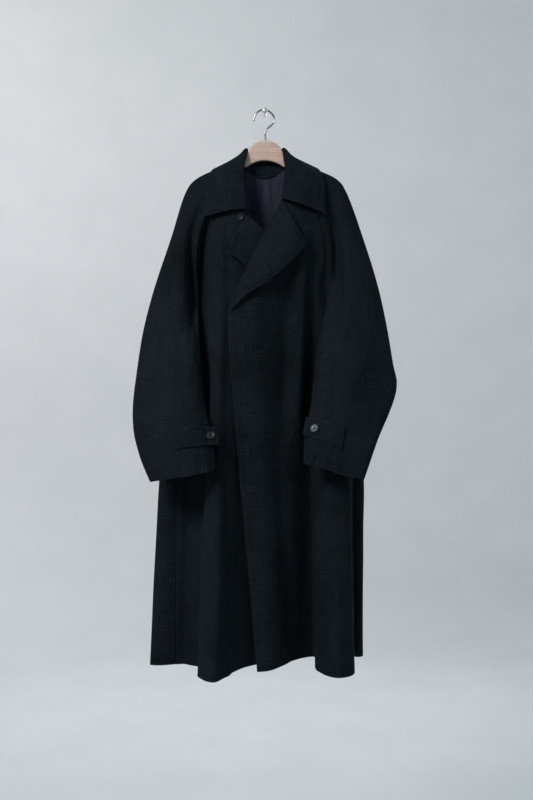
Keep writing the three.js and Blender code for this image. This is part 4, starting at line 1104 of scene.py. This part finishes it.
def sew_on(node, radius, thickness, centre, out, material):
    """A button in its seat, with its thread"""
    seat = to_seat(centre, out)
    mesh = turned_button(node, radius, thickness)
    mesh.transform(seat)
    piece(node + "_turned", mesh, node, material)
    cross = thread_cross(radius, thickness)
    cross.transform(seat)
    piece(node + "_thread", cross, None, THREAD)
    print(f"{node}: {2000 * radius:.0f} mm, {len(mesh.polygons)} faces")


CUFF_BUTTON = 0.009
for tab in TABS:
    grid = tab_grids[tab.side]
    near, far = on_tab(grid, tab.inset - CUFF_BUTTON), on_tab(grid, tab.inset + CUFF_BUTTON)
    out = np.cross(far - near, grid[0, -1] - grid[-1, -1])
    out *= -np.sign(out[1]) / np.linalg.norm(out)
    middle = on_tab(grid, tab.inset)
    rise = max(0, (near - middle).dot(out))
    seat = middle + out * (rise + CLOTH / 2 + BUTTON_CLEARANCE)
    sew_on(f"cuff_button_{tab.side}", CUFF_BUTTON, 0.0034, seat, out, tab.button)

low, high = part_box("neck_button")
NECK_FACING = Vector((-0.08, -0.995, 0.06)).normalized()
seat = (Vector(low) + Vector(high)) / 2 - NECK_FACING * 0.0017
sew_on("neck_button", 0.0075, 0.0034, seat, NECK_FACING, HORN)

# %% [markdown]
# ## Stitches
# The coat is topstitched along its edges and beside its seams: one stitch every 4 mm, each 2.8 mm
# long. A Geometry Nodes tree sets a stitch at every step along a path and turns it to the path.
# The paths are taken from the panels themselves, a fixed distance inside an edge.

# %% The stitch tree
def stitch_tree():
    tree = bpy.data.node_groups.new("stitches along paths", "GeometryNodeTree")
    face = tree.interface
    face.new_socket("Geometry", in_out="INPUT", socket_type="NodeSocketGeometry")
    for name in ("Step", "Length", "Width"):
        face.new_socket(name, in_out="INPUT", socket_type="NodeSocketFloat")
    face.new_socket("Thread", in_out="INPUT", socket_type="NodeSocketMaterial")
    face.new_socket("Geometry", in_out="OUTPUT", socket_type="NodeSocketGeometry")
    given = add(tree, "NodeGroupInput").outputs
    curve = add(tree, "GeometryNodeMeshToCurve", {}, {"Mesh": given["Geometry"]}).outputs[0]
    steps = add(tree, "GeometryNodeResampleCurve", {"mode": "LENGTH"},
                {"Curve": curve, "Length": given["Step"]}).outputs[0]
    tangent = add(tree, "GeometryNodeInputTangent").outputs[0]
    turn = add(tree, "FunctionNodeAlignRotationToVector", {"axis": "X"}, {"Vector": tangent}).outputs[0]
    ball = add(tree, "GeometryNodeMeshUVSphere", {}, {"Segments": 6, "Rings": 4, "Radius": 0.5}).outputs[0]
    size = add(tree, "ShaderNodeCombineXYZ", {},
               {0: given["Length"], 1: given["Width"], 2: given["Width"]}).outputs[0]
    stitch = add(tree, "GeometryNodeTransform", {}, {"Geometry": ball, "Scale": size}).outputs[0]
    row = add(tree, "GeometryNodeInstanceOnPoints", {},
              {"Points": steps, "Instance": stitch, "Rotation": turn}).outputs[0]
    real = add(tree, "GeometryNodeRealizeInstances", {}, {"Geometry": row}).outputs[0]
    done = add(tree, "GeometryNodeSetMaterial", {},
               {"Geometry": real, "Material": given["Thread"]}).outputs[0]
    add(tree, "NodeGroupOutput", {}, {0: done})
    return tree


STITCHES = stitch_tree()


# %% Paths beside edges and seams
THREAD_LIFT = 0.0001


def inside(panel, side, distance, from_start=0.0, from_end=0.0):
    """A path on the outside of a panel, this far inside one of its sides, cut short at both ends"""
    grid, out = panel.grid, panel.out
    if side in ("top", "bottom"):
        grid, out = grid.transpose(1, 0, 2), out.transpose(1, 0, 2)
    if side in ("last", "bottom"):
        grid, out = grid[:, ::-1], out[:, ::-1]
    surface = grid + out * (CLOTH / 2 + THREAD_LIFT)
    path = []
    for row in surface:
        way = np.concatenate([[0], np.linalg.norm(np.diff(row, axis=0), axis=1).cumsum()])
        path.append([np.interp(distance, way, row[:, k]) for k in range(3)])
    path = np.array(path)
    way = np.concatenate([[0], np.linalg.norm(np.diff(path, axis=0), axis=1).cumsum()])
    keep = (way > from_start) & (way < way[-1] - from_end)
    return path[keep]


def stitch(name, paths, step=0.004, length=0.0028, width=0.0007):
    """Rows of stitches along paths, as one piece"""
    verts, edges = [], []
    for path in paths:
        edges += [(len(verts) + i, len(verts) + i + 1) for i in range(len(path) - 1)]
        verts += list(path)
    mesh = bpy.data.meshes.new(name)
    mesh.from_pydata(verts, edges, [])
    guide = link(name + "_guide", mesh)
    nodes = guide.modifiers.new("stitches", "NODES")
    nodes.node_group = STITCHES
    values = {"Step": step, "Length": length, "Width": width, "Thread": THREAD}
    for item in STITCHES.interface.items_tree:
        if item.in_out == "INPUT" and item.name in values:
            nodes[item.identifier] = values[item.name]
    rows_of_stitches = plain_mesh(guide)
    bpy.data.objects.remove(guide)
    piece(name, rows_of_stitches, None, THREAD)
    print(f"{name}: {len(paths)} rows, {len(rows_of_stitches.polygons) // 24} stitches")


FIRST_ROW, SECOND_ROW, SEAM_ROW = 0.007, 0.014, 0.006
edge_rows = []
for distance in (FIRST_ROW, SECOND_ROW):
    edge_rows += [inside(panels["collar"], side, distance, distance, distance) for side in ("last", "top",
                                                                                            "bottom")]
    edge_rows += [inside(panels["lapel_left"], side, distance, distance, distance) for side in ("last",
                                                                                                "top")]
    edge_rows += [inside(panels["lapel_right"], side, distance, distance, distance) for side in ("last",
                                                                                                 "top")]
edge_rows.append(inside(panels["front_left"], "first", FIRST_ROW, 0.3, 0.01))
edge_rows.append(inside(panels["front_right"], "last", FIRST_ROW, 0.3, 0.01))
stitch("edge_stitches", edge_rows)
seam_rows = [inside(panels[f"sleeve_{side}_front"], "first", SEAM_ROW, 0.02, 0.47) for side in ("right",
                                                                                                "left")]
seam_rows += [inside(panels[f"sleeve_{side}_back"], "last", SEAM_ROW, 0.02, 0.47) for side in ("right",
                                                                                               "left")]
seam_rows += [inside(panels[f"sleeve_{side}_back"], "first", SEAM_ROW, 0.02, 0.005) for side in ("right",
                                                                                                 "left")]
stitch("seam_stitches", seam_rows)
HEM_ROW, CUFF_ROW = 0.035, 0.03
hem_rows = [inside(panels[node], "bottom", HEM_ROW, 0.01, 0.01) for node in ("back", "front_right",
                                                                             "front_left")]
hem_rows += [inside(panels[f"sleeve_{s}_{h}"], "bottom", CUFF_ROW, 0.01, 0.01) for s in ("right",
        "left") for h in ("front", "back")]
stitch("hem_stitches", hem_rows)
tab_rows = [inside(panels[f"cuff_tab_{side}"], edge, 0.006, 0.006, 0.006)
            for side in ("right", "left") for edge in ("top", "bottom", "last")]
stitch("tab_stitches", tab_rows)

# %% [markdown]
# ## Buttonhole
# The left lapel has one worked buttonhole near its point: a slit with close purl stitches round it.
# The same tree makes them, with a step hardly longer than the thread is thick.

# %% The lapel's buttonhole
BUTTONHOLE_LENGTH = 0.024
BUTTONHOLE_HALF_WIDTH = 0.0011
BUTTONHOLE_SQUARENESS = 0.4     # 1 is an ellipse, less has straighter sides
PURL = {"step": 0.0008, "length": 0.0016, "width": 0.0008}


def buttonhole(panel, level_part, share_part, length, lean):
    """A loop round a slit on a panel; its place is given as parts of the grid"""
    n, m = panel.grid.shape[:2]
    i, j = round(level_part * (n - 1)), round(share_part * (m - 1))
    centre, out = panel.grid[i, j] + panel.out[i, j] * (CLOTH / 2 + 0.0002), panel.out[i, j]
    along = panel.grid[i, j + 3] - panel.grid[i, j - 3]
    along /= np.linalg.norm(along)
    across = np.cross(out, along)
    along = along * math.cos(lean) + across * math.sin(lean)
    across = np.cross(out, along)
    turns = np.linspace(0, 2 * math.pi, 60)
    loop = []
    for a in turns:
        side = math.copysign(abs(math.sin(a)) ** BUTTONHOLE_SQUARENESS, math.sin(a))
        loop.append(centre + along * length / 2 * math.cos(a) + across * BUTTONHOLE_HALF_WIDTH * side)
    return loop


stitch("lapel_buttonhole", [buttonhole(panels["lapel_left"], 0.2, 0.72, BUTTONHOLE_LENGTH, 0.0)], **PURL)

# %% [markdown]
# ## The hanger
# The hanger is one sawn beech board, 12 mm thick, with a round middle and two sloping arms, and
# its edges are rounded with a router. The outline is drawn once, and each further loop is that
# outline drawn in a little as the edge turns over.

# %% Board with rounded edges
DOME_RADIUS, DOME_CENTRE_Z, HANGER_THICKNESS, ROUTER = 0.046, -0.114, 0.012, 0.0032


def arc_of(points, count=10):
    """A curve through three handles: start, pull and end"""
    a, b, c = (np.array(p, float) for p in points)
    t = np.linspace(0, 1, count)[:, None]
    return (1 - t) ** 2 * a + 2 * t * (1 - t) * b + t * t * c


def hanger_outline():
    """Half of the outline in metres, mirrored to the other side"""
    r, z = DOME_RADIUS * 1000, DOME_CENTRE_Z * 1000
    half = np.concatenate([
        arc_of([(0, -117.2), (24, -117.2), (r - 1, -133)], 14)[:-1],
        [(70, -141), (120, -162)], arc_of([(164, -183), (172, -184), (171, -175)]),
        arc_of([(171, -175), (170, -170), (162, -166)])[1:], [(110, -144.5)],
        arc_of([(r + 4, -120.2), (r, -117.5), (r, z)])[:-1],
        [(r * math.cos(a), z + r * math.sin(a)) for a in np.linspace(0, math.pi / 2, 30)]])
    mirrored = half[-2:0:-1] * [-1, 1]
    return np.concatenate([half, mirrored]) / 1000


def rounded_board(name, outline, thickness, radius, turns=5):
    """A board with its outline in X and Z and rounded edges, about the hanger's plane"""
    before, after = np.roll(outline, 1, axis=0), np.roll(outline, -1, axis=0)
    tangent = after - before
    tangent /= np.linalg.norm(tangent, axis=1, keepdims=True)
    inwards = np.stack([-tangent[:, 1], tangent[:, 0]], axis=1)
    angles = np.linspace(math.pi / 2, 0, turns + 1)
    half = [(radius * (1 - math.cos(a)), thickness / 2 - radius + radius * math.sin(a)) for a in angles]
    loops = half + [(inset, -depth) for inset, depth in reversed(half)]
    mesh = bmesh.new()
    rings = [[mesh.verts.new((x, -HANGER_PLANE / 1000 + depth, z)) for x,
              z in outline + inwards * inset] for inset, depth in loops]
    for low, high in zip(rings, rings[1:]):
        for k in range(len(outline)):
            mesh.faces.new((low[k], low[k - 1], high[k - 1], high[k]))
    for ring in (rings[0], rings[-1]):
        cap = mesh.faces.new(ring)
        bmesh.ops.triangulate(mesh, faces=[cap])
    bmesh.ops.recalc_face_normals(mesh, faces=mesh.faces)
    data = bpy.data.meshes.new(name)
    mesh.to_mesh(data)
    mesh.free()
    data.polygons.foreach_set("use_smooth", [True] * len(data.polygons))
    data.set_sharp_from_angle(angle=math.radians(35))
    return data


piece("hanger_board", rounded_board("hanger_board", hanger_outline(), HANGER_THICKNESS, ROUTER), "hanger",
      BEECH)

# %% [markdown]
# ## Hook and pin
# The hook is one steel wire, 4.4 mm thick, screwed into the top of the hanger and bent over the
# pin, with its end rounded off. The pin is turned: a shank and a domed head.

# %% Wire and pin
WIRE_RADIUS = 0.0022
HOOK_PATH = [[2, 0, -67.2], [1, 0, -58], [0, 0, -50], [5.5, 0, -40], [15, 0, -32], [21.6, 0, -23.5],
             [22, 0, -12.5],
             [15.5, 0, -3], [6, 0, 4], [-1.5, 0, 6.7], [-11, 0, 4], [-20, 0, -2], [-24.6, 0, -10.5],
             [-27, 0, -20]]


def wire(name, points, radius, sides=20):
    """A wire along points with a rounded end"""
    verts, faces = tube(points, radius, sides)
    last = np.array(verts[-sides:])
    centre, ahead = last.mean(axis=0), points[-1] - points[-2]
    ahead = ahead / np.linalg.norm(ahead)
    faces.pop()
    for a in np.linspace(0.3, 1.5, 4):
        ring = centre + (last - centre) * math.cos(a) + ahead * radius * math.sin(a)
        base = len(verts) - sides
        verts += list(ring)
        faces += [(base + k, base + (k + 1) % sides, base + sides + (k + 1) % sides,
                   base + sides + k) for k in range(sides)]
    faces.append(tuple(range(len(verts) - sides, len(verts))))
    mesh = bpy.data.meshes.new(name)
    mesh.from_pydata(verts, [], faces)
    mesh.polygons.foreach_set("use_smooth", [True] * len(faces))
    return mesh


hook = wire("hook_wire", through(place(HOOK_PATH), np.linspace(0, 1, 140)), WIRE_RADIUS)
piece("hook_wire", hook, "hanger_hook", STEEL_WIRE)
PIN_PROFILE = [(0, 0), (4, 0), (4, 41.9), (5.2, 42), (6.1, 42.2), (6.5, 43), (6.5, 44.6), (6.2, 46),
               (5.2, 47.2), (3.4, 47.8), (0, 48)]
pin = revolve("pin_turned", [(r / 1000, h / 1000) for r, h in PIN_PROFILE], 40)
pin.transform(Matrix.Rotation(math.pi / 2, 4, "X"))
pin.polygons.foreach_set("use_smooth", [True] * len(pin.polygons))
pin.set_sharp_from_angle(angle=math.radians(40))
piece("pin_turned", pin, "wall_pin", STEEL_PIN)
print("hook and pin made")

# %% [markdown]
# ## What each sheet was cut to
# Nothing gives the real cut, so these sizes were set from the areas of the model's own sheets,
# mostly with a few percent more for seams. The ratios printed here are near 1 for that reason:
# they are no test of whether a sheet is stretched or short of cloth.

# %% Cut sizes in metres
CUT = {  # width, length, area
    "back": (0.62, 1.21, 0.60), "front_right": (0.52, 1.19, 0.42), "front_left": (0.56, 1.19, 0.45),
    "sleeve_right_front": (0.16, 0.80, 0.085), "sleeve_right_back": (0.26, 0.84, 0.17),
    "sleeve_left_front": (0.16, 0.80, 0.092), "sleeve_left_back": (0.26, 0.84, 0.175),
    "collar": (0.62, 0.10, 0.058), "collar_stand": (0.44, 0.04, 0.0125), "lapel_right": (0.12, 0.24, 0.0165),
    "lapel_left": (0.14, 0.30, 0.0215), "lining_back": (0.20, 0.22, 0.037),
    "cuff_tab_right": (0.05, 0.105, 0.0050), "cuff_tab_left": (0.05, 0.105, 0.0050),
}
for node, (width, length, area) in CUT.items():
    made = sum(p.area for p in cloth[node].data.polygons)
    print(f"{node}: made {made:.4f} m2, cut {area:.4f} m2, ratio {made / area:.2f}")

# %% [markdown]
# ## Studio
# A pale cove, closed all round and open above, stands far enough away for a camera to go round
# the coat. The light is soft: a big window-like light from the left, weak fill from the right.

# %% Cove, lights and world
FLOOR_Z = -2.35


def make_paper():
    material, tree = new_material("pale paper cove")
    spot = add(tree, "ShaderNodeTexCoord").outputs["Object"]
    cloud = add(tree, "ShaderNodeTexNoise", {}, {"Vector": spot, "Scale": 3, "Detail": 3})
    tint = add(tree, "ShaderNodeValToRGB", {}, {"Fac": cloud},
               [(0.3, linear("d3d6da")), (0.7, linear("d8dade"))])
    finish_material(tree, Base_Color=tint, Roughness=0.9, Specular_IOR_Level=0.2)
    return material


def cove(radius=6.2, bend=1.6, height=5.5, sides=96):
    profile = [(0, 0), (radius - bend, 0)]
    profile += [(radius - bend + bend * math.sin(a), bend - bend * math.cos(a)) for a in np.linspace(0.1,
            math.pi / 2, 14)]
    profile.append((radius, height))
    angles = np.linspace(0, 2 * math.pi, sides, endpoint=False)
    verts = [(r * math.cos(a), r * math.sin(a), FLOOR_Z + z) for r, z in profile for a in angles]
    faces = [(i * sides + k, i * sides + (k + 1) % sides, (i + 1) * sides + (k + 1) % sides,
              (i + 1) * sides + k)
             for i in range(len(profile) - 1) for k in range(sides)]
    mesh = bpy.data.meshes.new("cove")
    mesh.from_pydata(verts, [], faces)
    mesh.polygons.foreach_set("use_smooth", [True] * len(faces))
    mesh.materials.append(make_paper())
    return link("cove", mesh)


cove()


def soft_light(name, spot, target, size, power, tint):
    light = bpy.data.lights.new(name, "AREA")
    light.size, light.energy, light.color = size, power, linear(tint)[:3]
    obj = link(name, light)
    obj.location = spot
    obj.rotation_euler = (Vector(target) - Vector(spot)).to_track_quat("-Z", "Y").to_euler()


MIDDLE = (0, -0.1, -0.55)
soft_light("window", (-1.8, -2.6, 1.35), MIDDLE, 1.1, 114, "fff5f6")
soft_light("fill", (2.2, -2.5, 0.5), MIDDLE, 1.6, 11, "fdfbff")
soft_light("wall wash", (-2.0, 2.0, 1.9), (-1.6, 6.2, 0.6), 2.4, 112, "fff6f1")
soft_light("behind", (1.2, 4.0, 1.2), MIDDLE, 2.6, 60, "fdfcff")
world = bpy.data.worlds.new("pale world")
bpy.context.scene.world = world
world.use_nodes = True
background = world.node_tree.nodes["Background"]
background.inputs[0].default_value = linear("bfe6e6")
background.inputs[1].default_value = 0.38
bpy.context.scene.view_settings.view_transform = "Standard"
